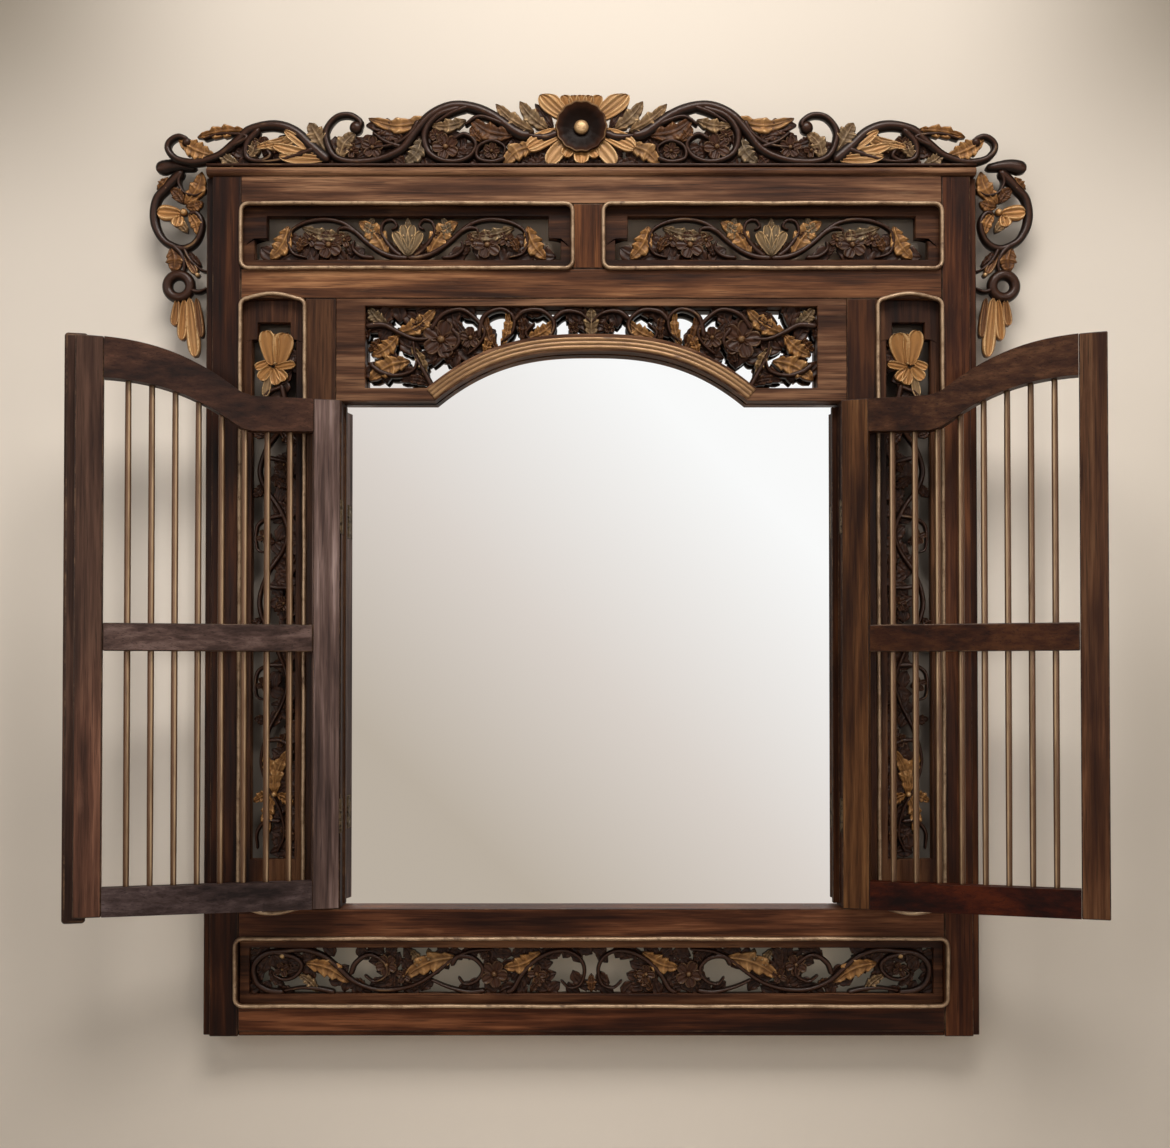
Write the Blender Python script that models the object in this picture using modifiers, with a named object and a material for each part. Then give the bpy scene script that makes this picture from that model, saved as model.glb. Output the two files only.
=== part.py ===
"""A carved window mirror: a joined frame with pierced panels, a crest, two ears and two spindled shutters.

Metres. +X is to the viewer's right, +Z is up and the front faces -Y. The origin is on the wall,
behind the middle of the frame. The shutters stand open, each turned about its own hinge pins.
"""

import math

import bmesh
import bpy
from mathutils import Matrix, Vector

MM = 0.001
GAP = 0.3 * MM
OVERRUN = 2 * MM
SEAT = 1.5 * MM

# Frame members, stacked upwards from the bottom edge.
FRAME_BOTTOM = -520 * MM
FRAME_DEPTH = 36 * MM
BOTTOM_RAIL_HEIGHT = 36 * MM
APRON_BAY_HEIGHT = 81 * MM
SILL_RAIL_HEIGHT = 35 * MM
MIRROR_BAY_HEIGHT = 732 * MM
FRIEZE_RAIL_HEIGHT = 36 * MM
FRIEZE_BAY_HEIGHT = 79 * MM
TOP_RAIL_HEIGHT = 33 * MM
STILE_WIDTH = 43 * MM
SIDE_BAY_WIDTH = 78.2 * MM
EDGE_STEP_WIDTH = 9 * MM
EDGE_STEP_DEPTH = 8 * MM
BOTTOM_STEP_HEIGHT = 6 * MM
JAMB_WIDTH = 44 * MM
MUNTIN_WIDTH = 36 * MM
MUNTIN_OFFSET = -4 * MM
CAP_HEIGHT = 10 * MM
CAP_OVERHANG = 5 * MM
CAP_BACK = 3 * MM
CAP_END_INSET = 2 * MM

# Mirror and its seat. The opening sets the width of the whole frame.
OPENING_HALF_WIDTH = 299.8 * MM
REBATE_WIDTH = 8.5 * MM
BACKING_THICKNESS = 9 * MM
GLASS_THICKNESS = 4 * MM
LEFT_BATTEN_WIDTH = 3 * MM
RIGHT_BATTEN_WIDTH = 8 * MM

# Header board with the arched lower edge.
HEADER_THICKNESS = 19 * MM
HEADER_LAP = 7.2 * MM
SHOULDER_DROP = 123.4 * MM
ARCH_SHOULDER_WIDTH = 111.8 * MM
ARCH_RISE = 60.6 * MM
ARCH_POWER = 2.6
ARCH_BAND = 17.5 * MM
HEADER_END_BLOCK = 35 * MM
HEADER_TOP_BAR = 9 * MM
HEADER_FOOT_BAR = 15.4 * MM
FIELD_ARCH_REACH = 10 * MM

# Sunk panels and the gilded beads round them.
PANEL_SETBACK = 8 * MM
PANEL_THICKNESS = 14 * MM
FRIEZE_MARGIN = 13 * MM
FRIEZE_END_MARGIN = 30 * MM
FRIEZE_NOTCH = 15 * MM
SIDE_MARGIN = 12.5 * MM
SIDE_TOP_MARGIN = 27.5 * MM
SIDE_FOOT_MARGIN = 58 * MM
SIDE_NECK_INSET = 7 * MM
SIDE_NECK_HEIGHT = 20 * MM
APRON_END_MARGIN = 12 * MM
BEAD_WIDTH = 6 * MM
BEAD_PROUD = 5 * MM
BEAD_CORNER = 9 * MM
SIDE_BEAD_BOW = 6 * MM
APRON_BEAD_REACH = 3.5 * MM

# Carving.
STEM_DEPTH_SHARE = 1.35
ROOT_SHARE = 0.45
LEAF_THICKNESS = 8 * MM
DEPTH_STEP = 0.37 * MM
DEPTH_STEPS = 7
STEM_STEPS = 6
CREST_RISE = 93 * MM
CREST_END_REACH = 38 * MM
CREST_OFFSET = -12 * MM
CREST_THICKNESS = 18 * MM
CREST_SILL = 5 * MM
CREST_STEM = 4.6 * MM
EAR_REACH = 60 * MM
EAR_HEIGHT = 236 * MM
EAR_OVER_FRAME = 17.5 * MM
EAR_STEM = 4.4 * MM
EAR_SEAT = 14 * MM
PANEL_STEM = 2.7 * MM
HEADER_STEM = 3.4 * MM
ROSETTE_RADIUS = 23 * MM
ROSETTE_REACH = 42 * MM
ROSETTE_HEIGHT = 47.5 * MM
ROSETTE_DEPTH = 12 * MM
PETAL_COUNT = 11
PETAL_REACH_SHARES = (1.0, 0.88, 0.66, 0.88)

# Shutters. Each is measured from its hinge pins, along the shutter and from its front to its back.
SHUTTER_THICKNESS = 18 * MM
SHUTTER_HINGE_EDGE = 2 * MM
SHUTTER_CLEARANCE = 4 * MM
MEETING_CLEARANCE = 0.75 * MM
LEFT_OPEN_ANGLE = 165
RIGHT_OPEN_ANGLE = 162
SHUTTER_STILE = 31 * MM
SHUTTER_TOP_RAIL = 38.5 * MM
SHUTTER_TOP_RAIL_GROWTH = 8.5 * MM
SHUTTER_MID_RAIL = 32 * MM
MID_RAIL_UNDER_MIDDLE = 62 * MM
MID_RAIL_THICKNESS = 9.7 * MM
SHUTTER_BOTTOM_RAIL = 32.7 * MM
CURVE_SOFTENING = 9 * MM
SPINDLE_COUNT = 8
SPINDLE_RADIUS = 3.8 * MM
SPINDLE_SETBACK = 4.2 * MM
SPINDLE_SOCKET = 7 * MM
ASTRAGAL_LAP = 13 * MM
ASTRAGAL_THICKNESS = 8 * MM
ASTRAGAL_RISE = 6 * MM
ASTRAGAL_DROP = 9 * MM

# Butt hinges.
PIN_OUTSIDE_OPENING = 1.2 * MM
PIN_PROUD = 4 * MM
PIN_RADIUS = 1.3 * MM
PIN_CLEARANCE = 0.08 * MM
KNUCKLE_RADIUS = 3.5 * MM
LEAF_PLATE = 1.2 * MM
LEAF_REACH = 19 * MM
HINGE_LENGTH = 40 * MM
HINGE_UNDER_HEAD = 263 * MM
HINGE_OVER_SILL = 111 * MM
KNUCKLE_COUNT = 3
HINGE_SIDES = 12

# Stacked heights and depths that follow from the sizes above.
BOTTOM_RAIL_TOP = FRAME_BOTTOM + BOTTOM_RAIL_HEIGHT
APRON_TOP = BOTTOM_RAIL_TOP + APRON_BAY_HEIGHT
SILL_TOP = APRON_TOP + SILL_RAIL_HEIGHT
HEAD_BOTTOM = SILL_TOP + MIRROR_BAY_HEIGHT
FRIEZE_BOTTOM = HEAD_BOTTOM + FRIEZE_RAIL_HEIGHT
FRIEZE_TOP = FRIEZE_BOTTOM + FRIEZE_BAY_HEIGHT
FRAME_TOP = FRIEZE_TOP + TOP_RAIL_HEIGHT
FRONT = -FRAME_DEPTH
JAMB_OUTER = OPENING_HALF_WIDTH + JAMB_WIDTH
STILE_INNER = JAMB_OUTER + SIDE_BAY_WIDTH
FRAME_HALF_WIDTH = STILE_INNER + STILE_WIDTH
CREST_HALF_LENGTH = FRAME_HALF_WIDTH + CREST_END_REACH
ARCH_HALF_SPAN = OPENING_HALF_WIDTH - ARCH_SHOULDER_WIDTH
EAR_TOP = FRAME_TOP + EAR_OVER_FRAME
CAP_BOTTOM = FRAME_TOP + GAP
CAP_TOP = CAP_BOTTOM + CAP_HEIGHT
GLASS_BACK = -BACKING_THICKNESS - GAP
GLASS_FRONT = GLASS_BACK - GLASS_THICKNESS
REBATE_FRONT = GLASS_FRONT - GAP
SHOULDER_HEIGHT = HEAD_BOTTOM - SHOULDER_DROP
HINGE_HEIGHTS = (HEAD_BOTTOM - HINGE_UNDER_HEAD, SILL_TOP + HINGE_OVER_SILL)
PANEL_FRONT = FRONT + PANEL_SETBACK
PANEL_BACK = PANEL_FRONT + PANEL_THICKNESS
HEADER_BACK = FRONT + HEADER_THICKNESS
HEADER_HALF_WIDTH = OPENING_HALF_WIDTH + HEADER_LAP
PIN_X = OPENING_HALF_WIDTH + PIN_OUTSIDE_OPENING
PIN_Y = FRONT - PIN_PROUD
SHUTTER_FRONT = PIN_PROUD
SHUTTER_BACK = PIN_PROUD + SHUTTER_THICKNESS
SHUTTER_FREE_EDGE = PIN_X - MEETING_CLEARANCE
SHUTTER_BOTTOM = SILL_TOP + SHUTTER_CLEARANCE
BOTTOM_RAIL_UPPER = SHUTTER_BOTTOM + SHUTTER_BOTTOM_RAIL
MID_RAIL_LOWER = -MID_RAIL_UNDER_MIDDLE
MID_RAIL_UPPER = MID_RAIL_LOWER + SHUTTER_MID_RAIL
MEETING_STILE_START = SHUTTER_FREE_EDGE - SHUTTER_STILE
HINGE_STILE_END = SHUTTER_HINGE_EDGE + SHUTTER_STILE

# Carved routes and leaves, drawn by hand on one half of each field and mirrored for the other half.
# Across, 0 is the middle of the field and 1 its end; upwards, 0 is its foot and 1 its top.
CREST_STEM_SHARES = (
    ((0.15, 0.46), (0.21, 0.68), (0.265, 0.80), (0.313, 0.81), (0.363, 0.68), (0.40, 0.46), (0.434, 0.23),
     (0.49, 0.08), (0.558, 0.05), (0.597, 0.18), (0.607, 0.46), (0.585, 0.65), (0.55, 0.67), (0.53, 0.52)),
    ((0.29, 0.79), (0.345, 0.66), (0.372, 0.44), (0.366, 0.21), (0.337, 0.08), (0.298, 0.06), (0.265, 0.16),
     (0.253, 0.32), (0.279, 0.45)),
    ((0.11, 0.43), (0.20, 0.58), (0.246, 0.65), (0.282, 0.54)),
    ((0.609, 0.06), (0.647, 0.28), (0.687, 0.46), (0.737, 0.53), (0.79, 0.48), (0.831, 0.30), (0.876, 0.12),
     (0.933, 0.06), (0.981, 0.09), (0.993, 0.24), (0.975, 0.36), (0.945, 0.33)),
    ((0.765, 0.51), (0.797, 0.32), (0.79, 0.12), (0.76, 0.06)),
    ((-0.012, 0.46), (0.08, 0.40), (0.147, 0.45)),
)
CREST_LEAF_SHARES = (
    ((0.375, 0.62), (0.513, 0.66), 0.17),
    ((0.09, 0.41), (0.186, 0.82), 0.19),
    ((0.03, 0.36), (0.126, 0.20), 0.17),
    ((0.10, 0.30), (0.179, 0.02), 0.18),
    ((0.616, 0.08), (0.76, 0.44), 0.27),
    ((0.635, 0.20), (0.652, 0.62), 0.15),
    ((0.80, 0.43), (0.92, 0.35), 0.11),
    ((0.95, 0.34), (0.885, 0.20), 0.17),
    ((0.828, 0.0), (0.857, 0.20), 0.13),
    ((0.575, 0.07), (0.560, 0.48), 0.17),
    ((0.26, 0.61), (0.35, 0.46), 0.15),
    ((0.298, 0.06), (0.334, 0.34), 0.15),
    ((0.38, 0.40), (0.413, 0.02), 0.16),
)
FRIEZE_STEM_SHARES = (
    ((0.0, 0.06), (0.10, 0.09), (0.20, 0.22), (0.298, 0.43), (0.376, 0.66), (0.468, 0.86), (0.589, 0.94),
     (0.723, 0.88), (0.823, 0.70), (0.851, 0.43), (0.816, 0.16), (0.76, -0.02)),
    ((0.376, 0.66), (0.482, 0.73), (0.546, 0.59), (0.50, 0.30)),
    ((0.05, 0.07), (0.142, 0.39), (0.19, 0.66), (0.16, 0.92), (0.09, 0.84)),
)
FRIEZE_LEAF_SHARES = (
    ((0.84, 0.72), (0.99, 0.02), 0.32),
    ((0.156, 0.10), (0.355, 0.84), 0.38),
    ((0.0, 0.02), (0.0, 1.04), 0.46),
    ((0.46, -0.04), (0.56, 0.72), 0.34),
    ((0.64, -0.02), (0.64, 0.90), 0.34),
    ((0.84, 0.28), (0.68, 0.66), 0.26),
)
HEADER_STEM_SHARES = (
    ((1.0, 0.76), (0.90, 0.76), (0.84, 0.67), (0.76, 0.60), (0.68, 0.58)),
    ((0.70, 0.74), (0.66, 0.92), (0.58, 0.96), (0.51, 0.86), (0.473, 0.70), (0.50, 0.52), (0.56, 0.36)),
    ((0.50, 0.60), (0.47, 0.92), (0.36, 0.95), (0.335, 0.80), (0.37, 0.60), (0.40, 0.48)),
    ((0.335, 0.80), (0.28, 0.93), (0.20, 0.93), (0.155, 0.77), (0.18, 0.62)),
    ((0.17, 0.88), (0.10, 0.94), (0.0, 0.82)),
    ((0.70, -0.02), (0.748, 0.22), (0.783, 0.44), (0.74, 0.60)),
)
HEADER_LEAF_SHARES = (
    ((0.90, 0.74), (0.98, 1.04), 0.20),
    ((0.86, 0.70), (0.695, 0.95), 0.19),
    ((0.66, 0.58), (0.78, 0.62), 0.20),
    ((0.66, 0.60), (0.71, 0.34), 0.20),
    ((0.67, 0.62), (0.585, 0.52), 0.20),
    ((0.67, 0.60), (0.65, 0.86), 0.20),
    ((0.845, 0.68), (0.965, 0.44), 0.20),
    ((0.765, 0.42), (0.975, 0.14), 0.24),
    ((0.42, 0.42), (0.47, 0.82), 0.14),
    ((0.27, 0.56), (0.17, 0.84), 0.18),
    ((0.0, 0.60), (0.0, 1.04), 0.20),
    ((0.40, 0.50), (0.37, 0.92), 0.12),
)
APRON_STEM_SHARES = (
    ((0.90, -0.02), (0.95, 0.06), (0.982, 0.26), (0.988, 0.60), (0.953, 0.86), (0.90, 0.93), (0.839, 0.94),
     (0.784, 0.81), (0.74, 0.55), (0.696, 0.27), (0.635, 0.08), (0.567, 0.08), (0.506, 0.22), (0.45, 0.48),
     (0.40, 0.76), (0.351, 0.93), (0.289, 0.98)),
    ((0.26, -0.02), (0.228, 0.10), (0.202, 0.42), (0.161, 0.73), (0.114, 0.91), (0.07, 0.93), (0.035, 0.78),
     (0.02, 0.50), (0.032, 0.18), (0.064, 0.06), (0.095, 0.26)),
    ((0.912, 0.90), (0.865, 0.66), (0.883, 0.30), (0.93, 0.32)),
    ((0.70, 0.60), (0.655, 0.84), (0.61, 0.66), (0.62, 0.34), (0.66, 0.10)),
    ((0.40, 0.60), (0.365, 0.80), (0.32, 0.66), (0.33, 0.30), (0.37, -0.02)),
)
APRON_LEAF_SHARES = (
    ((0.72, 0.26), (0.836, 0.68), 0.36),
    ((0.40, 0.76), (0.547, 0.34), 0.40),
    ((0.12, 0.89), (0.254, 0.50), 0.36),
    ((0.285, 1.03), (0.27, 0.08), 0.36),
    ((0.58, 0.98), (0.60, 0.30), 0.30),
    ((0.80, -0.02), (0.86, 0.42), 0.30),
    ((0.18, -0.02), (0.12, 0.42), 0.30),
    ((0.46, -0.02), (0.43, 0.46), 0.24),
)
SIDE_STEM_SHARES = (
    ((0.0, 0.93), (0.05, 0.90), (0.50, 0.85), (0.45, 0.81), (-0.25, 0.775), (-0.65, 0.725), (-0.10, 0.67),
     (0.60, 0.61), (0.10, 0.55), (-0.65, 0.485), (-0.20, 0.41), (0.60, 0.34), (0.20, 0.27), (-0.50, 0.19),
     (0.0, 0.11), (0.50, 0.05), (0.20, -0.005)),
)
SIDE_LEAF_SHARES = (
    ((-0.10, 0.925), (-0.60, 0.985), 0.30),
    ((0.10, 0.925), (0.48, 0.985), 0.30),
    ((-0.05, 0.93), (-1.03, 0.935), 0.20),
    ((0.05, 0.93), (1.03, 0.928), 0.20),
    ((-0.10, 0.93), (-0.60, 0.875), 0.26),
    ((0.10, 0.93), (0.35, 0.88), 0.30),
    ((0.50, 0.84), (-1.03, 0.83), 0.26),
    ((-0.55, 0.745), (1.03, 0.75), 0.26),
    ((0.45, 0.63), (-1.03, 0.63), 0.26),
    ((-0.50, 0.50), (1.03, 0.51), 0.26),
    ((0.45, 0.35), (-1.03, 0.37), 0.26),
    ((0.10, 0.13), (-0.60, 0.20), 0.30),
    ((0.10, 0.13), (1.03, 0.20), 0.30),
    ((0.0, 0.10), (-1.03, 0.10), 0.26),
    ((0.20, 0.10), (1.03, 0.09), 0.26),
    ((0.10, 0.12), (-0.30, 0.03), 0.30),
)
EAR_STEM_SHARES = (
    ((0.93, 0.925), (0.78, 0.955), (0.40, 0.965), (0.14, 0.965)),
    ((0.50, 0.95), (0.60, 0.88), (0.78, 0.835), (0.92, 0.805), (0.94, 0.73), (0.90, 0.63), (0.70, 0.56),
     (0.40, 0.548), (0.14, 0.594), (0.085, 0.67), (0.20, 0.73), (0.36, 0.73)),
    ((0.64, 0.56), (0.44, 0.49), (0.26, 0.42), (0.19, 0.345), (0.30, 0.275), (0.54, 0.255), (0.78, 0.295),
     (0.78, 0.37), (0.58, 0.416), (0.36, 0.40)),
)
EAR_LEAF_SHARES = (
    ((0.36, 0.71), (0.15, 0.94), 0.055),
    ((0.30, 0.73), (0.86, 0.69), 0.055),
    ((0.54, 0.55), (0.66, 0.40), 0.06),
    ((0.30, 0.53), (0.08, 0.38), 0.04),
    ((0.36, 0.29), (0.52, 0.14), 0.045),
    ((0.30, 0.28), (0.38, 0.06), 0.05),
    ((0.22, 0.29), (0.12, 0.0), 0.06),
)

parts = None
cutters = None


def clear_scene():
    for old in list(bpy.data.objects):
        bpy.data.objects.remove(old, do_unlink=True)


def new_collection(name, hidden):
    made = bpy.data.collections.new(name)
    bpy.context.scene.collection.children.link(made)
    made.hide_render = hidden
    return made


def finish(name, colour, roughness, metallic=0.0):
    made = bpy.data.materials.new(name)
    made.use_nodes = True
    shader = made.node_tree.nodes["Principled BSDF"]
    shader.inputs["Base Color"].default_value = (*colour, 1.0)
    shader.inputs["Roughness"].default_value = roughness
    shader.inputs["Metallic"].default_value = metallic
    made.diffuse_color = (*colour, 1.0)
    return made


def add_object(name, mesh, material, parent=None, helper=False):
    """Puts a mesh in the scene as a part, or as a hidden helper for a Boolean."""
    if not mesh.materials:
        mesh.materials.append(material)
    made = bpy.data.objects.new(name, mesh)
    (cutters if helper else parts).objects.link(made)
    made.parent = parent
    if helper:
        made.hide_render = True
        made.display_type = "WIRE"
    return made


def box_mesh(name, low, high):
    """A block between two opposite corners."""
    low, high = Vector(low), Vector(high)
    size = high - low
    work = bmesh.new()
    place = Matrix.Translation((low + high) / 2) @ Matrix.Diagonal((*size, 1))
    bmesh.ops.create_cube(work, size=1, matrix=place)
    mesh = bpy.data.meshes.new(name)
    work.to_mesh(mesh)
    work.free()
    return mesh


def cylinder_mesh(name, centre, radius, length, sides, turn=None):
    """A round bar along Z, or along the axis that turn gives it."""
    work = bmesh.new()
    place = Matrix.Translation(centre) @ (turn or Matrix.Identity(4))
    bmesh.ops.create_cone(work, cap_ends=True, segments=sides, radius1=radius, radius2=radius,
                          depth=length, matrix=place)
    mesh = bpy.data.meshes.new(name)
    work.to_mesh(mesh)
    work.free()
    return mesh


def upright_bar(name, axis, low, high, radius, sides=8):
    """A round bar that stands between two heights, on an axis given by its X and Y."""
    return cylinder_mesh(name, (*axis, (low + high) / 2), radius, high - low, sides)


def curve_to_mesh(curve_object, name):
    """Takes the mesh of a curve, welds its caps and drops the curve."""
    mesh = bpy.data.meshes.new_from_object(curve_object)
    mesh.transform(curve_object.matrix_world)
    mesh.name = name
    curve = curve_object.data
    bpy.data.objects.remove(curve_object, do_unlink=True)
    bpy.data.curves.remove(curve)
    work = bmesh.new()
    work.from_mesh(mesh)
    bmesh.ops.remove_doubles(work, verts=work.verts, dist=GAP / 10)
    bmesh.ops.recalc_face_normals(work, faces=work.faces)
    work.to_mesh(mesh)
    work.free()
    return mesh


def prism_mesh(name, outlines, start, end, turn=None):
    """Flat outlines in X and Z, made solid between two places on Y. A second outline inside is a hole.

    A turn, if given, is then made of the whole prism.
    """
    curve = bpy.data.curves.new(name, "CURVE")
    curve.dimensions = "2D"
    curve.fill_mode = "BOTH"
    curve.extrude = abs(end - start) / 2
    for outline in outlines:
        spline = curve.splines.new("POLY")
        spline.points.add(len(outline) - 1)
        for point, (x, z) in zip(spline.points, outline):
            point.co = (x, z, 0, 1)
        spline.use_cyclic_u = True
    holder = bpy.data.objects.new(name, curve)
    bpy.context.scene.collection.objects.link(holder)
    place = Matrix.Translation((0, (start + end) / 2, 0)) @ Matrix.Rotation(math.pi / 2, 4, "X")
    holder.matrix_world = turn @ place if turn else place
    return curve_to_mesh(holder, name)


def tube_mesh(name, points, radius, middle_y, tapered=True):
    """A carved stem: a four-sided tube along its route, deeper than it is wide, thinner at its end."""
    curve = bpy.data.curves.new(name, "CURVE")
    curve.dimensions = "3D"
    curve.bevel_depth = radius
    curve.bevel_resolution = 0
    curve.use_fill_caps = True
    spline = curve.splines.new("POLY")
    spline.points.add(len(points) - 1)
    last = len(points) - 1
    for count, (point, (x, z)) in enumerate(zip(spline.points, points)):
        point.co = (x, 0, z, 1)
        point.radius = 1 - 0.35 * count / last if tapered else 1
    holder = bpy.data.objects.new(name, curve)
    bpy.context.scene.collection.objects.link(holder)
    deepened = Matrix.Diagonal((1, STEM_DEPTH_SHARE, 1, 1))
    holder.matrix_world = Matrix.Translation((0, middle_y, 0)) @ deepened
    return curve_to_mesh(holder, name)


LEAF_SHARES = ((0.22, 0.8), (0.40, 1.0), (0.56, 0.72), (0.78, 0.74))


def leaf_mesh(name, base, tip, width, start, end):
    """A lobed leaf from its stalk to its tip, whose half width rises and falls over the lobes."""
    base, tip = Vector(base), Vector(tip)
    along = tip - base
    side = Vector((-along.y, along.x)).normalized() * width / 2
    right = [base + along * share + side * half for share, half in LEAF_SHARES]
    left = [base + along * share - side * half for share, half in reversed(LEAF_SHARES)]
    return prism_mesh(name, [[base, *right, tip, *left]], start, end)


def unite(target, pieces):
    """Joins helper pieces to the target, which keeps each piece's own material."""
    group = bpy.data.collections.new(target.name + "_pieces")
    group.hide_render = True
    cutters.children.link(group)
    for piece in pieces:
        cutters.objects.unlink(piece)
        group.objects.link(piece)
    add_boolean(target, "UNION", group)


def cut(target, pieces):
    group = bpy.data.collections.new(target.name + "_cuts")
    group.hide_render = True
    cutters.children.link(group)
    for piece in pieces:
        cutters.objects.unlink(piece)
        group.objects.link(piece)
    add_boolean(target, "DIFFERENCE", group)


def add_boolean(target, operation, group):
    modifier = target.modifiers.new(operation.title(), "BOOLEAN")
    modifier.operation = operation
    modifier.operand_type = "COLLECTION"
    modifier.collection = group
    modifier.solver = "EXACT"
    if operation == "UNION":
        modifier.material_mode = "TRANSFER"


def helper_box(name, low, high, material, parent=None):
    return add_object(name, box_mesh(name, low, high), material, parent, helper=True)


def block(name, low, high, material, parent=None):
    return add_object(name, box_mesh(name, low, high), material, parent)


def round_edges(target, width, segments=1):
    bevel = target.modifiers.new("Worn edges", "BEVEL")
    bevel.width = width
    bevel.segments = segments
    bevel.limit_method = "ANGLE"


def arch_height(x):
    """Height of the header's lower edge: flat shoulders, then an arch that is fuller than a circle."""
    share = min(abs(x) / ARCH_HALF_SPAN, 1)
    return SHOULDER_HEIGHT + ARCH_RISE * (1 - share ** ARCH_POWER)


def between(start, end, steps):
    return [start + (end - start) * count / steps for count in range(steps + 1)]


def leaf_root(point, tip, routes, setback):
    """Where a leaf springs from: the nearest place on a stem's middle line, set back from there.

    It is set back away from the leaf's tip.
    """
    point = Vector(point)
    found = []
    for route in routes:
        for start, end in zip(route, route[1:]):
            start, end = Vector(start), Vector(end)
            share = (point - start).dot(end - start) / (end - start).length_squared
            found.append(start.lerp(end, min(max(share, 0), 1)))
    root = min(found, key=lambda place: (place - point).length)
    return root - (Vector(tip) - root).normalized() * setback


def carving(owner, stems, leaves, field, stem_radius, depth, materials, mirrored=True):
    """Makes the stems and leaves of a carved field, which run into each other and into its border."""
    middle, reach, foot, rise = field
    front, back = depth
    stem_material, leaf_material = materials
    centre = (front + back) / 2
    pieces = []
    for turn in (1, -1) if mirrored else (1,):
        side = "a" if turn == 1 else "b"
        routes = [[(middle + turn * reach * across, foot + rise * up) for across, up in route]
                  for route in stems]
        for count, points in enumerate(routes):
            name = f"{owner}_stem_{side}{count}"
            mesh = tube_mesh(name, points, stem_radius, centre + DEPTH_STEP * (count % STEM_STEPS))
            pieces.append(add_object(name, mesh, stem_material, helper=True))
        for count, (base, tip, width) in enumerate(leaves):
            if turn == -1 and base[0] == tip[0] == 0:
                continue
            name = f"{owner}_leaf_{side}{count}"
            root, end = [(middle + turn * reach * across, foot + rise * up) for across, up in (base, tip)]
            if 0 <= base[1] <= 1:
                root = leaf_root(root, end, routes, stem_radius * ROOT_SHARE)
            start = front + DEPTH_STEP * (count % DEPTH_STEPS)
            mesh = leaf_mesh(name, root, end, width * rise, start, start + LEAF_THICKNESS)
            pieces.append(add_object(name, mesh, leaf_material, helper=True))
    return pieces


def make_stiles(wood):
    """Outer uprights, stepped back along their outer edge."""
    for side, sign in (("left", -1), ("right", 1)):
        plan = [
            (STILE_INNER, 0),
            (STILE_INNER, FRONT),
            (FRAME_HALF_WIDTH - EDGE_STEP_WIDTH, FRONT),
            (FRAME_HALF_WIDTH - EDGE_STEP_WIDTH, FRONT + EDGE_STEP_DEPTH),
            (FRAME_HALF_WIDTH, FRONT + EDGE_STEP_DEPTH),
            (FRAME_HALF_WIDTH, 0),
        ]
        name = f"stile_{side}"
        stand_up = Matrix.Rotation(-math.pi / 2, 4, "X")
        mesh = prism_mesh(name, [[(sign * x, y) for x, y in plan]], -FRAME_TOP, -FRAME_BOTTOM, stand_up)
        add_object(name, mesh, wood)


def rail(name, low, high, wood):
    reach = STILE_INNER - GAP
    return block(name, (-reach, FRONT, low), (reach, 0, high), wood)


def pocket_cutter(name, material):
    """The rebate behind the opening that takes the glass and the backing board."""
    reach = OPENING_HALF_WIDTH + REBATE_WIDTH
    low = (-reach, REBATE_FRONT, SILL_TOP - REBATE_WIDTH)
    high = (reach, OVERRUN, HEAD_BOTTOM + REBATE_WIDTH)
    return helper_box(name, low, high, material)


def make_rails(wood):
    rail("rail_bottom", FRAME_BOTTOM, BOTTOM_RAIL_TOP, wood)
    step = helper_box("bottom_step", (-STILE_INNER, FRONT - OVERRUN, FRAME_BOTTOM - OVERRUN),
                      (STILE_INNER, FRONT + EDGE_STEP_DEPTH / 2, FRAME_BOTTOM + BOTTOM_STEP_HEIGHT), wood)
    cut(bpy.data.objects["rail_bottom"], [step])
    sill = rail("rail_sill", APRON_TOP, SILL_TOP, wood)
    cut(sill, [pocket_cutter("sill_rebate", wood)])
    frieze = rail("rail_frieze", HEAD_BOTTOM, FRIEZE_BOTTOM, wood)
    cut(frieze, [pocket_cutter("frieze_rebate", wood)])
    top = rail("rail_top", FRIEZE_TOP, FRAME_TOP + SEAT, wood)
    unite(top, [cap_moulding(wood)])


def cap_moulding(wood):
    """The rounded moulding that caps the frame and reaches over both stiles."""
    front = FRONT - CAP_OVERHANG
    radius = CAP_HEIGHT / 2
    middle = CAP_BOTTOM + radius
    nose = [
        (front + radius - radius * math.cos(turn), middle + radius * math.sin(turn))
        for turn in between(-math.pi / 2, math.pi / 2, 6)
    ]
    profile = [(-CAP_BACK, CAP_BOTTOM), *nose, (-CAP_BACK, CAP_TOP)]
    reach = FRAME_HALF_WIDTH - CAP_END_INSET
    mesh = prism_mesh("cap_moulding", [profile], -reach, reach, Matrix.Rotation(math.pi / 2, 4, "Z"))
    return add_object("cap_moulding", mesh, wood, helper=True)


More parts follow.
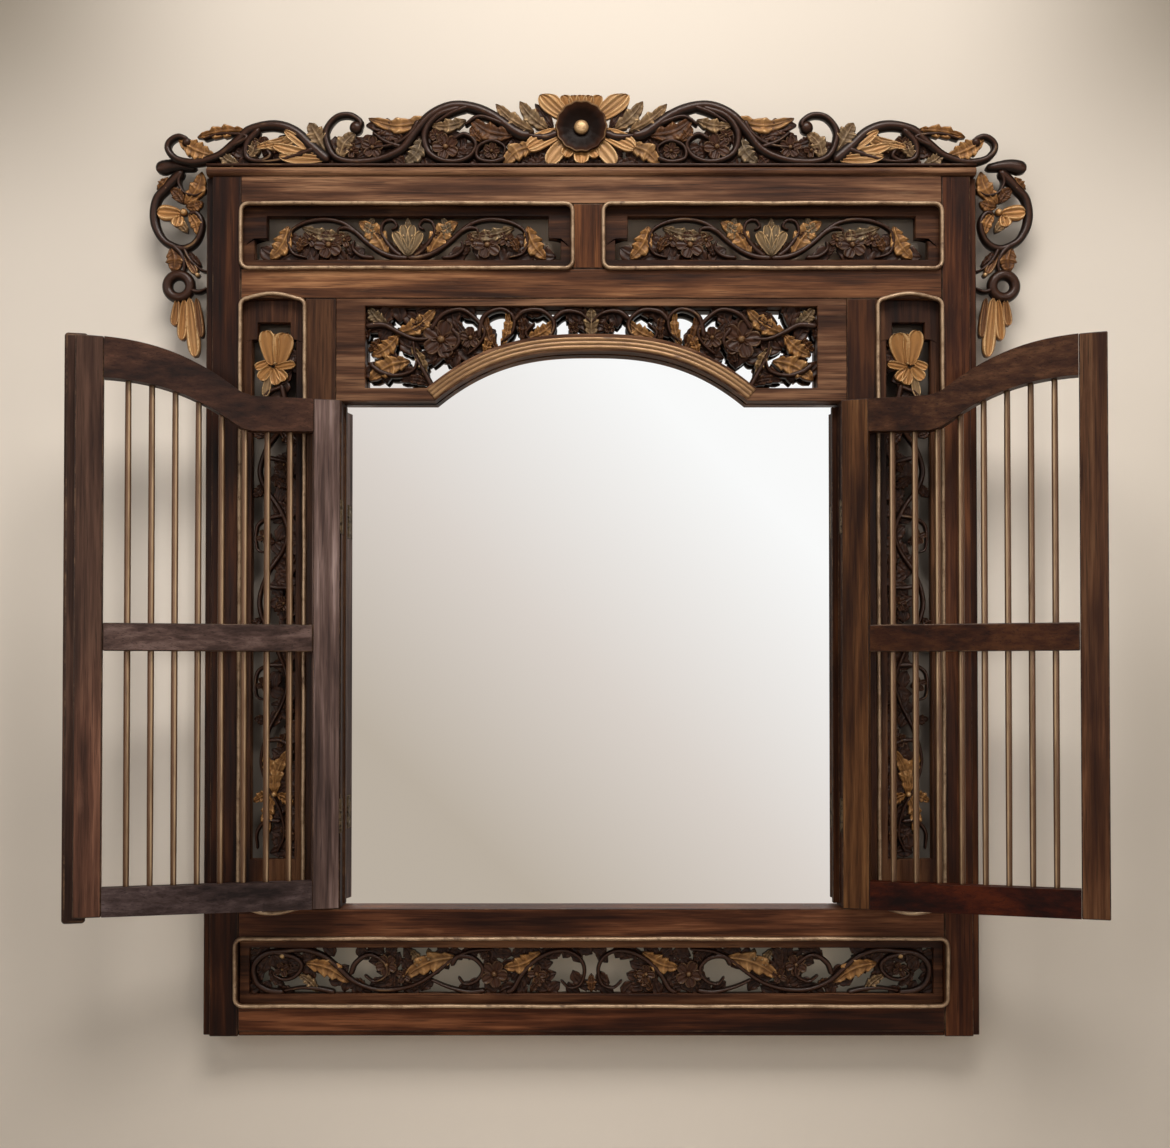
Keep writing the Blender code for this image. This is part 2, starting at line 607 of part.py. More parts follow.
def make_jambs(wood):
    """Inner uprights: housed for the header, rebated for the glass, recessed for the hinge leaves."""
    for side, sign, batten_width in (("left", -1, LEFT_BATTEN_WIDTH), ("right", 1, RIGHT_BATTEN_WIDTH)):
        x_inner, x_outer = sorted((sign * OPENING_HALF_WIDTH, sign * JAMB_OUTER))
        low, high = (x_inner, FRONT, SILL_TOP + GAP), (x_outer, 0, HEAD_BOTTOM - GAP)
        jamb = block(f"jamb_{side}", low, high, wood)
        stop = sorted((sign * (OPENING_HALF_WIDTH - batten_width), sign * (OPENING_HALF_WIDTH + SEAT)))
        batten_front = FRONT + SHUTTER_THICKNESS + GAP
        batten = helper_box(f"batten_{side}", (stop[0], batten_front, SHUTTER_BOTTOM),
                            (stop[1], REBATE_FRONT, SHOULDER_HEIGHT - SHUTTER_CLEARANCE), wood)
        unite(jamb, [batten])
        lap = sorted((sign * (OPENING_HALF_WIDTH - OVERRUN), sign * (HEADER_HALF_WIDTH + GAP)))
        housing = helper_box(f"housing_{side}", (lap[0], FRONT - OVERRUN, SHOULDER_HEIGHT - GAP),
                             (lap[1], HEADER_BACK + GAP, HEAD_BOTTOM + OVERRUN), wood)
        pockets = [housing, pocket_cutter(f"jamb_rebate_{side}", wood)]
        for count, height in enumerate(HINGE_HEIGHTS):
            inner, outer = OPENING_HALF_WIDTH - OVERRUN, OPENING_HALF_WIDTH + LEAF_PLATE + GAP
            reach = sorted((sign * inner, sign * outer))
            half = HINGE_LENGTH / 2 + GAP
            low = (reach[0], FRONT - OVERRUN, height - half)
            high = (reach[1], PIN_Y + LEAF_REACH + GAP, height + half)
            pockets.append(helper_box(f"jamb_recess_{side}_{count}", low, high, wood))
        cut(jamb, pockets)


def make_muntin(wood):
    half = MUNTIN_WIDTH / 2
    block("muntin", (MUNTIN_OFFSET - half, FRONT, FRIEZE_BOTTOM + GAP),
          (MUNTIN_OFFSET + half, 0, FRIEZE_TOP - GAP), wood)


def make_mirror(glass, board):
    reach = OPENING_HALF_WIDTH + REBATE_WIDTH - GAP
    low, high = SILL_TOP - REBATE_WIDTH + GAP, HEAD_BOTTOM + REBATE_WIDTH - GAP
    block("mirror_glass", (-reach, GLASS_FRONT, low), (reach, GLASS_BACK, high), glass)
    block("backing_board", (-reach, -BACKING_THICKNESS, low), (reach, 0, high), board)


def pierced_panel(name, bay, field_outline, wood, pieces):
    """A sunk board that fills its bay, with a pierced field whose carving joins its edges."""
    left, right, low, high = bay
    left, right, low, high = left + GAP, right - GAP, low + GAP, high - GAP
    edge = [(left, low), (right, low), (right, high), (left, high)]
    mesh = prism_mesh(name, [edge, field_outline], PANEL_FRONT, PANEL_BACK)
    panel = add_object(name, mesh, wood)
    unite(panel, pieces)
    return panel


def frieze_bays():
    half = MUNTIN_WIDTH / 2
    return {
        "left": (-STILE_INNER, MUNTIN_OFFSET - half, FRIEZE_BOTTOM, FRIEZE_TOP),
        "right": (MUNTIN_OFFSET + half, STILE_INNER, FRIEZE_BOTTOM, FRIEZE_TOP),
    }


def make_frieze_panels(wood, materials):
    for side, bay in frieze_bays().items():
        left, right, low, high = bay
        middle = (left + right) / 2
        reach = (right - left) / 2 - FRIEZE_END_MARGIN
        foot, top = low + FRIEZE_MARGIN, high - FRIEZE_MARGIN
        step = (foot + top) / 2
        outline = [
            (middle - reach - FRIEZE_NOTCH, foot),
            (middle + reach + FRIEZE_NOTCH, foot),
            (middle + reach + FRIEZE_NOTCH, step),
            (middle + reach, step),
            (middle + reach, top),
            (middle - reach, top),
            (middle - reach, step),
            (middle - reach - FRIEZE_NOTCH, step),
        ]
        name = f"frieze_panel_{side}"
        pieces = carving(name, FRIEZE_STEM_SHARES, FRIEZE_LEAF_SHARES, (middle, reach, foot, top - foot),
                         PANEL_STEM, (PANEL_FRONT + GAP, PANEL_BACK - SEAT), materials)
        pierced_panel(name, bay, outline, wood, pieces)


def side_bays():
    return {
        "left": (-STILE_INNER, -JAMB_OUTER, SILL_TOP, HEAD_BOTTOM),
        "right": (JAMB_OUTER, STILE_INNER, SILL_TOP, HEAD_BOTTOM),
    }


def make_side_panels(wood, materials):
    for side, bay in side_bays().items():
        left, right, low, high = bay
        middle = (left + right) / 2
        reach = (right - left) / 2 - SIDE_MARGIN
        foot, top = low + SIDE_FOOT_MARGIN, high - SIDE_TOP_MARGIN
        neck = reach - SIDE_NECK_INSET
        outline = [
            (middle - reach, foot),
            (middle + reach, foot),
            (middle + reach, top - SIDE_NECK_HEIGHT),
            (middle + neck, top - SIDE_NECK_HEIGHT),
            (middle + neck, top),
            (middle - neck, top),
            (middle - neck, top - SIDE_NECK_HEIGHT),
            (middle - reach, top - SIDE_NECK_HEIGHT),
        ]
        name = f"side_panel_{side}"
        pieces = side_carving(name, middle, reach, foot, top - foot, materials)
        pierced_panel(name, bay, outline, wood, pieces)


def side_carving(owner, middle, reach, foot, rise, materials):
    """A flower at the head of a vine that winds down the field, with a bunch of leaves near its foot."""
    stem_material, leaf_material = materials
    centre = (PANEL_FRONT + PANEL_BACK) / 2
    sign = 1 if middle > 0 else -1
    pieces = []
    for count, route in enumerate(SIDE_STEM_SHARES):
        points = [(middle - sign * reach * across, foot + rise * up) for across, up in route]
        mesh = tube_mesh(f"{owner}_vine{count}", points, PANEL_STEM, centre, tapered=False)
        pieces.append(add_object(mesh.name, mesh, stem_material, helper=True))
    for count, (base, tip, width) in enumerate(SIDE_LEAF_SHARES):
        ends = [(middle - sign * reach * across, foot + rise * up) for across, up in (base, tip)]
        start = PANEL_FRONT + DEPTH_STEP * (1 + count % DEPTH_STEPS)
        mesh = leaf_mesh(f"{owner}_leaf{count}", *ends, width * 2 * reach, start, start + LEAF_THICKNESS)
        pieces.append(add_object(mesh.name, mesh, leaf_material, helper=True))
    return pieces


def make_apron(wood, materials):
    bay = (-STILE_INNER, STILE_INNER, BOTTOM_RAIL_TOP, APRON_TOP)
    reach = STILE_INNER - APRON_END_MARGIN
    foot, top = BOTTOM_RAIL_TOP + FRIEZE_MARGIN, APRON_TOP - FRIEZE_MARGIN
    outline = [(-reach, foot), (reach, foot), (reach, top), (-reach, top)]
    pieces = carving("apron_panel", APRON_STEM_SHARES, APRON_LEAF_SHARES, (0, reach, foot, top - foot),
                     PANEL_STEM, (PANEL_FRONT + GAP, PANEL_BACK - SEAT), materials)
    pierced_panel("apron_panel", bay, outline, wood, pieces)


def make_header(wood, materials):
    """The arched board over the mirror, pierced above its gilded band."""
    top = HEAD_BOTTOM - GAP
    span = between(-ARCH_HALF_SPAN, ARCH_HALF_SPAN, 24)
    edge = [
        (-HEADER_HALF_WIDTH, top),
        (-HEADER_HALF_WIDTH, SHOULDER_HEIGHT),
        *[(x, arch_height(x)) for x in span],
        (HEADER_HALF_WIDTH, SHOULDER_HEIGHT),
        (HEADER_HALF_WIDTH, top),
    ]
    reach = HEADER_HALF_WIDTH - HEADER_END_BLOCK
    foot, head = SHOULDER_HEIGHT + HEADER_FOOT_BAR, HEAD_BOTTOM - HEADER_TOP_BAR
    arch_reach = ARCH_HALF_SPAN + FIELD_ARCH_REACH
    lift = ARCH_RISE + ARCH_BAND - HEADER_FOOT_BAR
    inner = [
        (x, foot + lift * (1 - (abs(x) / arch_reach) ** ARCH_POWER))
        for x in between(-arch_reach, arch_reach, 24)
    ]
    outline = [(-reach, head), (-reach, foot), *inner, (reach, foot), (reach, head)]
    mesh = prism_mesh("header_panel", [edge, outline], FRONT, HEADER_BACK)
    header = add_object("header_panel", mesh, wood)
    pieces = carving("header_panel", HEADER_STEM_SHARES, HEADER_LEAF_SHARES, (0, reach, foot, head - foot),
                     HEADER_STEM, (FRONT + SEAT, HEADER_BACK - SEAT), materials)
    unite(header, pieces)


def ring_outline(left, right, low, high, corner, bow):
    """A rectangle with rounded corners, whose top and foot bow outwards when bow isn't zero."""
    points = []
    for x, z, quarter in ((right, high, 0), (left, high, 1), (left, low, 2), (right, low, 3)):
        centre_x = x + corner * (1 if quarter in (1, 2) else -1)
        centre_z = z + corner * (1 if quarter in (2, 3) else -1)
        for turn in between(quarter * math.pi / 2, (quarter + 1) * math.pi / 2, 3):
            points.append((centre_x + corner * math.cos(turn), centre_z + corner * math.sin(turn)))
        if bow and quarter in (0, 2):
            out = bow if quarter == 0 else -bow
            across = between(centre_x, left + right - centre_x, 3)[1:-1]
            points += [(place, z + out) for place in across]
    return points


def bead_ring(name, bay, gilt, bow=0.0, reach=0.0):
    """A half-round gilded bead laid on the frame round a sunk panel."""
    left, right, low, high = bay
    outline = ring_outline(left - reach, right + reach, low, high, BEAD_CORNER, bow)
    curve = bpy.data.curves.new(name, "CURVE")
    curve.dimensions = "3D"
    curve.bevel_depth = BEAD_WIDTH / 2
    curve.bevel_resolution = 1
    spline = curve.splines.new("POLY")
    spline.points.add(len(outline) - 1)
    for point, (x, z) in zip(spline.points, outline):
        point.co = (x, 0, z, 1)
    spline.use_cyclic_u = True
    holder = bpy.data.objects.new(name, curve)
    bpy.context.scene.collection.objects.link(holder)
    deepened = Matrix.Diagonal((1, 2 * BEAD_PROUD / BEAD_WIDTH, 1, 1))
    holder.matrix_world = Matrix.Translation((0, FRONT - GAP, 0)) @ deepened
    ring = add_object(name, curve_to_mesh(holder, name), gilt)
    reach_x, reach_z = BEAD_WIDTH + reach, BEAD_WIDTH + bow
    behind = helper_box(name + "_flat", (left - reach_x, FRONT - GAP, low - reach_z),
                        (right + reach_x, FRONT + BEAD_PROUD + OVERRUN, high + reach_z), gilt)
    cut(ring, [behind])


def make_beads(gilt):
    for side, bay in frieze_bays().items():
        bead_ring(f"frieze_bead_{side}", bay, gilt)
    for side, bay in side_bays().items():
        bead_ring(f"side_bead_{side}", bay, gilt, bow=SIDE_BEAD_BOW)
    apron_bay = (-STILE_INNER, STILE_INNER, BOTTOM_RAIL_TOP, APRON_TOP)
    bead_ring("apron_bead", apron_bay, gilt, reach=APRON_BEAD_REACH)


def make_crest(wood, materials, gilt):
    """Scrolls and leaves on a thin sill, with the rosette a little to the left of the middle."""
    foot = CAP_TOP + GAP
    front = FRONT - CAP_OVERHANG + SEAT
    depth = (front, front + CREST_THICKNESS)
    reach = FRAME_HALF_WIDTH - CAP_END_INSET
    crest = block("crest", (-reach, depth[0] + SEAT, foot - SEAT),
                  (reach, depth[1] - SEAT, foot + CREST_SILL), wood)
    field = (CREST_OFFSET, CREST_HALF_LENGTH, foot, CREST_RISE)
    pieces = carving("crest", CREST_STEM_SHARES, CREST_LEAF_SHARES, field, CREST_STEM, depth, materials)
    pieces += rosette(foot + ROSETTE_HEIGHT, depth, materials[1], wood)
    unite(crest, pieces)
    under = helper_box("crest_seat", (-CREST_HALF_LENGTH, front - OVERRUN, foot - CREST_RISE),
                       (CREST_HALF_LENGTH, -CAP_BACK, foot), wood)
    cut(crest, [under])


def rosette(height, depth, gilt, wood):
    """A dark cup on a flower, whose edge swings out and in once for each petal."""
    front, back = depth
    outline = []
    for count in range(PETAL_COUNT * len(PETAL_REACH_SHARES)):
        turn = 2 * math.pi * count / (PETAL_COUNT * len(PETAL_REACH_SHARES))
        reach = ROSETTE_REACH * PETAL_REACH_SHARES[count % len(PETAL_REACH_SHARES)]
        outline.append((CREST_OFFSET + reach * math.cos(turn), height + reach * math.sin(turn)))
    start = front + (back - front - LEAF_THICKNESS) / 2
    flower = prism_mesh("rosette_flower", [outline], start, start + LEAF_THICKNESS)
    cup = cylinder_mesh("rosette_cup", (CREST_OFFSET, front + ROSETTE_DEPTH / 3, height), ROSETTE_RADIUS,
                        ROSETTE_DEPTH, 16, Matrix.Rotation(math.pi / 2, 4, "X"))
    return [add_object("rosette_flower", flower, gilt, helper=True),
            add_object("rosette_cup", cup, wood, helper=True)]


def make_ears(wood, materials):
    """Scrolled brackets on the frame's sides, each ending in a hanging leaf."""
    front = FRONT + EDGE_STEP_DEPTH - SEAT
    depth = (front, front + CREST_THICKNESS)
    foot = EAR_TOP - EAR_HEIGHT
    for side, sign in (("left", -1), ("right", 1)):
        name = f"ear_{side}"
        root = sign * (FRAME_HALF_WIDTH + GAP)
        middle_y = (depth[0] + depth[1]) / 2
        pad = sorted((root, root + sign * EAR_STEM * 2))
        pad_top = foot + EAR_HEIGHT * EAR_STEM_SHARES[0][-1][1] + EAR_STEM
        ear = block(name, (pad[0], middle_y - EAR_STEM, FRAME_TOP - EAR_SEAT),
                    (pad[1], middle_y + EAR_STEM, pad_top), wood)
        pieces = carving(name, EAR_STEM_SHARES, EAR_LEAF_SHARES, (root, sign * EAR_REACH, foot, EAR_HEIGHT),
                         EAR_STEM, depth, materials, mirrored=False)
        unite(ear, pieces)


def shutter_top(along):
    """Height of a shutter's top edge at a distance from its pins.

    It is the header's edge lower by the clearance, as a mean over a short reach that softens its corner.
    """
    reaches = (-1, -0.5, 0, 0.5, 1)
    heights = [arch_height(max(PIN_X - along + CURVE_SOFTENING * share, 0)) for share in reaches]
    return sum(heights) / len(heights) - SHUTTER_CLEARANCE


def rail_underside(along):
    share = (along - HINGE_STILE_END) / (MEETING_STILE_START - HINGE_STILE_END)
    return shutter_top(along) - SHUTTER_TOP_RAIL - SHUTTER_TOP_RAIL_GROWTH * share


def shutter_prism(name, outline, front, back, sign, material, parent):
    """A flat shutter member, whose outline is drawn from the pins along the closed shutter."""
    mesh = prism_mesh(name, [[(sign * along, height) for along, height in outline]], front, back)
    return add_object(name, mesh, material, parent)


def shutter_box(name, low, high, sign, material, parent, helper=False):
    start, end = sorted((sign * low[0], sign * high[0]))
    return add_object(name, box_mesh(name, (start, *low[1:]), (end, *high[1:])), material, parent, helper)


def make_shutter(side, sign, angle, materials):
    """One shutter, drawn closed from its pins; sign is the way that it reaches from them when closed."""
    wood, gilt, brass = materials
    pivot = bpy.data.objects.new(f"{side}_pins", None)
    parts.objects.link(pivot)
    pivot.location = (-sign * PIN_X, PIN_Y, 0)
    pivot.rotation_euler = (0, 0, -sign * math.radians(angle))
    front, back = SHUTTER_FRONT, SHUTTER_BACK

    tops = between(SHUTTER_HINGE_EDGE, HINGE_STILE_END, 2)
    outline = [(SHUTTER_HINGE_EDGE, SHUTTER_BOTTOM), (HINGE_STILE_END, SHUTTER_BOTTOM)]
    outline += [(along, shutter_top(along)) for along in reversed(tops)]
    stile = shutter_prism(f"{side}_hinge_stile", outline, front, back, sign, wood, pivot)
    recesses = []
    for count, height in enumerate(HINGE_HEIGHTS):
        half = HINGE_LENGTH / 2 + GAP
        low = (SHUTTER_HINGE_EDGE - OVERRUN, front - OVERRUN, height - half)
        high = (SHUTTER_HINGE_EDGE + LEAF_PLATE + GAP, LEAF_REACH + GAP, height + half)
        recesses.append(shutter_box(f"{side}_recess_{count}", low, high, sign, wood, pivot, helper=True))
    cut(stile, recesses)

    tops = between(MEETING_STILE_START, SHUTTER_FREE_EDGE, 3)
    outline = [(MEETING_STILE_START, SHUTTER_BOTTOM), (SHUTTER_FREE_EDGE, SHUTTER_BOTTOM)]
    outline += [(along, shutter_top(along)) for along in reversed(tops)]
    shutter_prism(f"{side}_meeting_stile", outline, front, back, sign, wood, pivot)

    start, end = HINGE_STILE_END + GAP, MEETING_STILE_START - GAP
    tops = between(start, end, 20)
    outline = [(along, rail_underside(along)) for along in tops]
    outline += [(along, shutter_top(along)) for along in reversed(tops)]
    top_rail = shutter_prism(f"{side}_top_rail", outline, front, back, sign, wood, pivot)
    bottom_rail = shutter_box(f"{side}_bottom_rail", (start, front, SHUTTER_BOTTOM),
                              (end, back, BOTTOM_RAIL_UPPER), sign, wood, pivot)
    mid_front = back - MID_RAIL_THICKNESS
    shutter_box(f"{side}_mid_rail", (start, mid_front, MID_RAIL_LOWER), (end, back, MID_RAIL_UPPER),
                sign, wood, pivot)

    middle_y = front + SPINDLE_SETBACK
    top_sockets, bottom_sockets = [], []
    for count in range(SPINDLE_COUNT):
        along = start + (end - start) * (count + 1) / (SPINDLE_COUNT + 1)
        low = BOTTOM_RAIL_UPPER - SPINDLE_SOCKET
        high = rail_underside(along) + SPINDLE_SOCKET
        name = f"{side}_spindle_{count + 1}"
        axis = (sign * along, middle_y)
        bar = upright_bar(name, axis, low, high, SPINDLE_RADIUS)
        add_object(name, bar, gilt, pivot)
        mouth = 2 * SPINDLE_SOCKET
        bore = SPINDLE_RADIUS + GAP
        top = upright_bar(f"{name}_top", axis, high - SPINDLE_SOCKET - mouth, high + GAP, bore)
        foot = upright_bar(f"{name}_foot", axis, low - GAP, low + SPINDLE_SOCKET + mouth, bore)
        top_sockets.append(add_object(top.name, top, wood, pivot, helper=True))
        bottom_sockets.append(add_object(foot.name, foot, wood, pivot, helper=True))
    cut(top_rail, top_sockets)
    cut(bottom_rail, bottom_sockets)

    for count, height in enumerate(HINGE_HEIGHTS):
        make_hinge(f"{side}_hinge_{count + 1}", height, sign, pivot, brass)
    return pivot


def knuckle_heights(height, index):
    """Where one knuckle of a hinge starts and ends, counted from the bottom."""
    pitch = HINGE_LENGTH / KNUCKLE_COUNT
    low = height - HINGE_LENGTH / 2 + pitch * index
    return low + GAP / 2, low + pitch - GAP / 2


def make_hinge(name, height, sign, pivot, brass):
    """Butt hinge: the frame leaf has the outer knuckles and the pin, the shutter leaf the middle one."""
    half = HINGE_LENGTH / 2
    plate = KNUCKLE_RADIUS + GAP
    pin_axis = (-sign * PIN_X, PIN_Y)
    near, far = sorted((-sign * OPENING_HALF_WIDTH, -sign * (OPENING_HALF_WIDTH + LEAF_PLATE)))
    frame_leaf = block(f"{name}_frame_leaf", (near, PIN_Y + plate, height - half),
                       (far, PIN_Y + LEAF_REACH, height + half), brass)
    pieces = []
    for index in (0, KNUCKLE_COUNT - 1):
        low, high = knuckle_heights(height, index)
        pieces.append(helper_box(f"{name}_tongue_{index}", (near, PIN_Y, low),
                                 (far, PIN_Y + plate + SEAT, high), brass))
        barrel = upright_bar(f"{name}_knuckle_{index}", pin_axis, low, high, KNUCKLE_RADIUS, HINGE_SIDES)
        pieces.append(add_object(barrel.name, barrel, brass, helper=True))
    pin = upright_bar(f"{name}_pin", pin_axis, height - half + SEAT, height + half - SEAT, PIN_RADIUS,
                      HINGE_SIDES)
    pieces.append(add_object(pin.name, pin, brass, helper=True))
    unite(frame_leaf, pieces)

    edge = SHUTTER_HINGE_EDGE
    leaf = shutter_box(f"{name}_shutter_leaf", (edge, plate, height - half),
                       (edge + LEAF_PLATE, LEAF_REACH, height + half), sign, brass, pivot)
    low, high = knuckle_heights(height, 1)
    tongue = shutter_box(f"{name}_shutter_tongue", (edge, 0, low), (edge + LEAF_PLATE, plate + SEAT, high),
                         sign, brass, pivot, helper=True)
    barrel = upright_bar(f"{name}_shutter_knuckle", (0, 0), low, high, KNUCKLE_RADIUS, HINGE_SIDES)
    unite(leaf, [tongue, add_object(barrel.name, barrel, brass, pivot, helper=True)])
    bore = upright_bar(f"{name}_bore", (0, 0), low - SEAT, high + SEAT, PIN_RADIUS + PIN_CLEARANCE,
                       HINGE_SIDES)
    cut(leaf, [add_object(bore.name, bore, brass, pivot, helper=True)])


def make_astragal(pivot, sign, wood):
    """The strip on the left shutter's front that covers the joint with the right one when they are shut."""
    back = SHUTTER_FRONT - GAP
    low = (SHUTTER_FREE_EDGE - ASTRAGAL_LAP, back - ASTRAGAL_THICKNESS, SHUTTER_BOTTOM - ASTRAGAL_DROP)
    high = (SHUTTER_FREE_EDGE + ASTRAGAL_LAP, back, shutter_top(SHUTTER_FREE_EDGE) + ASTRAGAL_RISE)
    strip = shutter_box("left_astragal", low, high, sign, wood, pivot)
    round_edges(strip, ASTRAGAL_THICKNESS / 3)


def main():
    global parts, cutters
    clear_scene()
    parts = new_collection("Carved window mirror", hidden=False)
    cutters = new_collection("Cutters and joined pieces", hidden=True)
    frame_wood = finish("Frame wood", (0.085, 0.038, 0.022), 0.55)
    shutter_wood = finish("Shutter wood", (0.075, 0.040, 0.030), 0.6)
    dark_wood = finish("Carved stems", (0.035, 0.018, 0.012), 0.5)
    leaf_gilt = finish("Gilded leaves", (0.42, 0.26, 0.10), 0.45, 0.35)
    bead_gilt = finish("Gilded beads", (0.50, 0.32, 0.12), 0.4, 0.4)
    brass = finish("Hinge brass", (0.22, 0.15, 0.07), 0.45, 0.9)
    glass = finish("Mirror", (0.9, 0.9, 0.88), 0.02, 1.0)
    board = finish("Backing board", (0.16, 0.10, 0.06), 0.8)
    carved = (dark_wood, leaf_gilt)
    make_stiles(frame_wood)
    make_rails(frame_wood)
    make_jambs(frame_wood)
    make_muntin(frame_wood)
    make_mirror(glass, board)
    make_frieze_panels(frame_wood, carved)
    make_side_panels(frame_wood, carved)
    make_apron(frame_wood, carved)
    make_header(frame_wood, carved)
    make_beads(bead_gilt)
    make_crest(dark_wood, carved, leaf_gilt)
    make_ears(dark_wood, carved)
    left = make_shutter("left", 1, LEFT_OPEN_ANGLE, (shutter_wood, bead_gilt, brass))
    make_shutter("right", -1, RIGHT_OPEN_ANGLE, (shutter_wood, bead_gilt, brass))
    make_astragal(left, 1, shutter_wood)


main()
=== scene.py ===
# A carved window mirror: worn dark wood, rubbed gilding, a silvered glass and two spindled shutters.
# Metres. +X is to the viewer's right, +Z is up, the wall is the plane y = 0 and the front faces -Y.
import math

import bmesh
import bpy
import numpy as np
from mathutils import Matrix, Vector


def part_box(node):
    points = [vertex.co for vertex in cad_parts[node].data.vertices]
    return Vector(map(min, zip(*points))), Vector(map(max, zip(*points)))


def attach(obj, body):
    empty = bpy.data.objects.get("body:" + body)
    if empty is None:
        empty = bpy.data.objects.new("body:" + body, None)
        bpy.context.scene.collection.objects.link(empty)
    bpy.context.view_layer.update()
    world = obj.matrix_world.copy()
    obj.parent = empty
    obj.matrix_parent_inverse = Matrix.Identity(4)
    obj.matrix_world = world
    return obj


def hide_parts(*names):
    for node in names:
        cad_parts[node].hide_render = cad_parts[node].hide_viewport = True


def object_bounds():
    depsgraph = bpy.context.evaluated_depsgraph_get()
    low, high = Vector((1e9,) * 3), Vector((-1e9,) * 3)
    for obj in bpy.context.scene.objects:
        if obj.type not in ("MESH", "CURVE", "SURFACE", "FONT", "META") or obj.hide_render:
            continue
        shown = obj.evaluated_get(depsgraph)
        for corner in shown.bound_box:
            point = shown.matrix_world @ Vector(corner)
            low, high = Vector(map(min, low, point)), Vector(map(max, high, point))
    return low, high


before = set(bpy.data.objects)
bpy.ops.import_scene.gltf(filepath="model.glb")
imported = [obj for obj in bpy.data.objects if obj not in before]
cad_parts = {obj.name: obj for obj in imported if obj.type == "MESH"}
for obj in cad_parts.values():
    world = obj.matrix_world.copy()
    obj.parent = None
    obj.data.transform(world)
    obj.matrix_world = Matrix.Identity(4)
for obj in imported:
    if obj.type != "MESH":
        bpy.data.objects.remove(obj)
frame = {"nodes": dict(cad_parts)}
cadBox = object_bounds()
nodes = frame["nodes"]
print("frame loaded:", len(nodes), "nodes")

mm = 0.001
sides = {"left": 1, "right": -1}        # the way each closed shutter reaches from its pins
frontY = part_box("rail_frieze")[0].y     # the plane of the frame's front


# Camera, light and the wall

view = {
    "distance": 1.8,          # from the frame's front
    "lens": 46.25,            # a 36 mm sensor sees 1.401 m there
    "height": -0.100,         # the eye is a little under the middle
    "side": -0.0076,
    "pitch": 1.0,             # degrees upwards
    "shift": 0.0718,
}
room = {
    # the wall is painted between a shaded and a lit colour
    "wallInShade": (0.28, 0.238, 0.190),
    "wallInLight": (0.95, 0.85, 0.745),
    "base": 0.66,
    # painted pools of light and shade on the wall: across, up, reach across and up in metres, and how much paler
    "paintedPools": ((0.0, 0.72, 0.50, 0.70, 0.12), (0.0, 0.20, 1.6, 0.50, 0.14), (-0.70, -0.13, 0.10, 0.40, -0.20),
              (0.70, -0.13, 0.10, 0.40, -0.26), (0.0, -0.72, 0.75, 0.32, 0.30),
              (-0.52, -0.04, 0.10, 0.42, 0.30), (0.52, -0.04, 0.10, 0.42, 0.30)),
    # painted shade in the top corners: from where to where aside and above it grows, and how deep it is
    "corners": ((0.40, 0.78), (0.40, 0.80), 0.70),
    "behind": (0.95, 0.68, 0.46),         # painted light on the wall behind the frieze and the apron
    # painted shade on the wall behind the side panels
    "shadeBehindSides": (0.068, 0.035, 0.018),
    "glowBehindApron": (0.090, 0.083, 0.064),    # painted glow: the wall behind the apron gives off this light itself, standing in for light that finds its way there
    "floor": (0.72, 0.66, 0.58),
    "floorDrop": 0.62,
    "floorReach": 3.4,
    "wallGap": 0.004,
    "wallSize": 7.0,
    "covered": (0.46, 0.51),              # how far the frame covers the wall, across and up
}
lamps = {
    "Key": {"place": (0.15, -1.35, 1.75), "aim": (0, 0, 0.2), "size": (1.5, 0.7), "power": 37,
            "colour": (1, 0.97, 0.92)},
    "Fill left": {"place": (-2.4, -2.2, 0.9), "aim": (0, 0, 0), "size": (1.5, 1.5), "power": 12,
                  "colour": (0.95, 0.97, 1)},
    "Fill right": {"place": (2.4, -2.4, 0.5), "aim": (0, 0, 0), "size": (1.5, 1.5), "power": 7,
                   "colour": (1, 0.98, 0.95)},
}
# soft spots through the open shutters onto the wall behind them
spots = {
    "Spot left": {"place": (-0.95, -2.2, 0.05), "aim": (-0.56, 0, 0.0), "cone": 21, "power": 54},
    "Spot right": {"place": (0.95, -2.2, 0.05), "aim": (0.56, 0, 0.0), "cone": 21, "power": 46},
}


def placeCamera():
    eye = bpy.data.cameras.new("Camera")
    eye.lens = view["lens"]
    eye.sensor_width = 36
    eye.shift_y = view["shift"]
    holder = bpy.data.objects.new("Camera", eye)
    bpy.context.scene.collection.objects.link(holder)
    holder.location = (view["side"], frontY - view["distance"], view["height"])
    holder.rotation_euler = (math.radians(90 + view["pitch"]), 0, 0)
    bpy.context.scene.camera = holder


def areaLight(name, place, aim, size, power, colour=(1, 1, 1)):
    lamp = bpy.data.lights.new(name, "AREA")
    lamp.shape = "RECTANGLE"
    lamp.size, lamp.size_y = size
    lamp.energy = power
    lamp.color = colour
    hangLamp(name, lamp, place, aim)


def spotLight(name, place, aim, cone, power, colour=(1, 0.98, 0.94)):
    lamp = bpy.data.lights.new(name, "SPOT")
    lamp.spot_size = math.radians(cone)
    lamp.spot_blend = 1.0
    lamp.shadow_soft_size = 0.25
    lamp.energy = power
    lamp.color = colour
    hangLamp(name, lamp, place, aim)


def hangLamp(name, lamp, place, aim):
    holder = bpy.data.objects.new(name, lamp)
    bpy.context.scene.collection.objects.link(holder)
    way = np.array(aim) - np.array(place)
    holder.location = place
    pitch = math.atan2(math.hypot(way[0], way[1]), -way[2])
    holder.rotation_euler = (pitch, 0, math.atan2(way[1], way[0]) - math.pi / 2)


# Mesh building

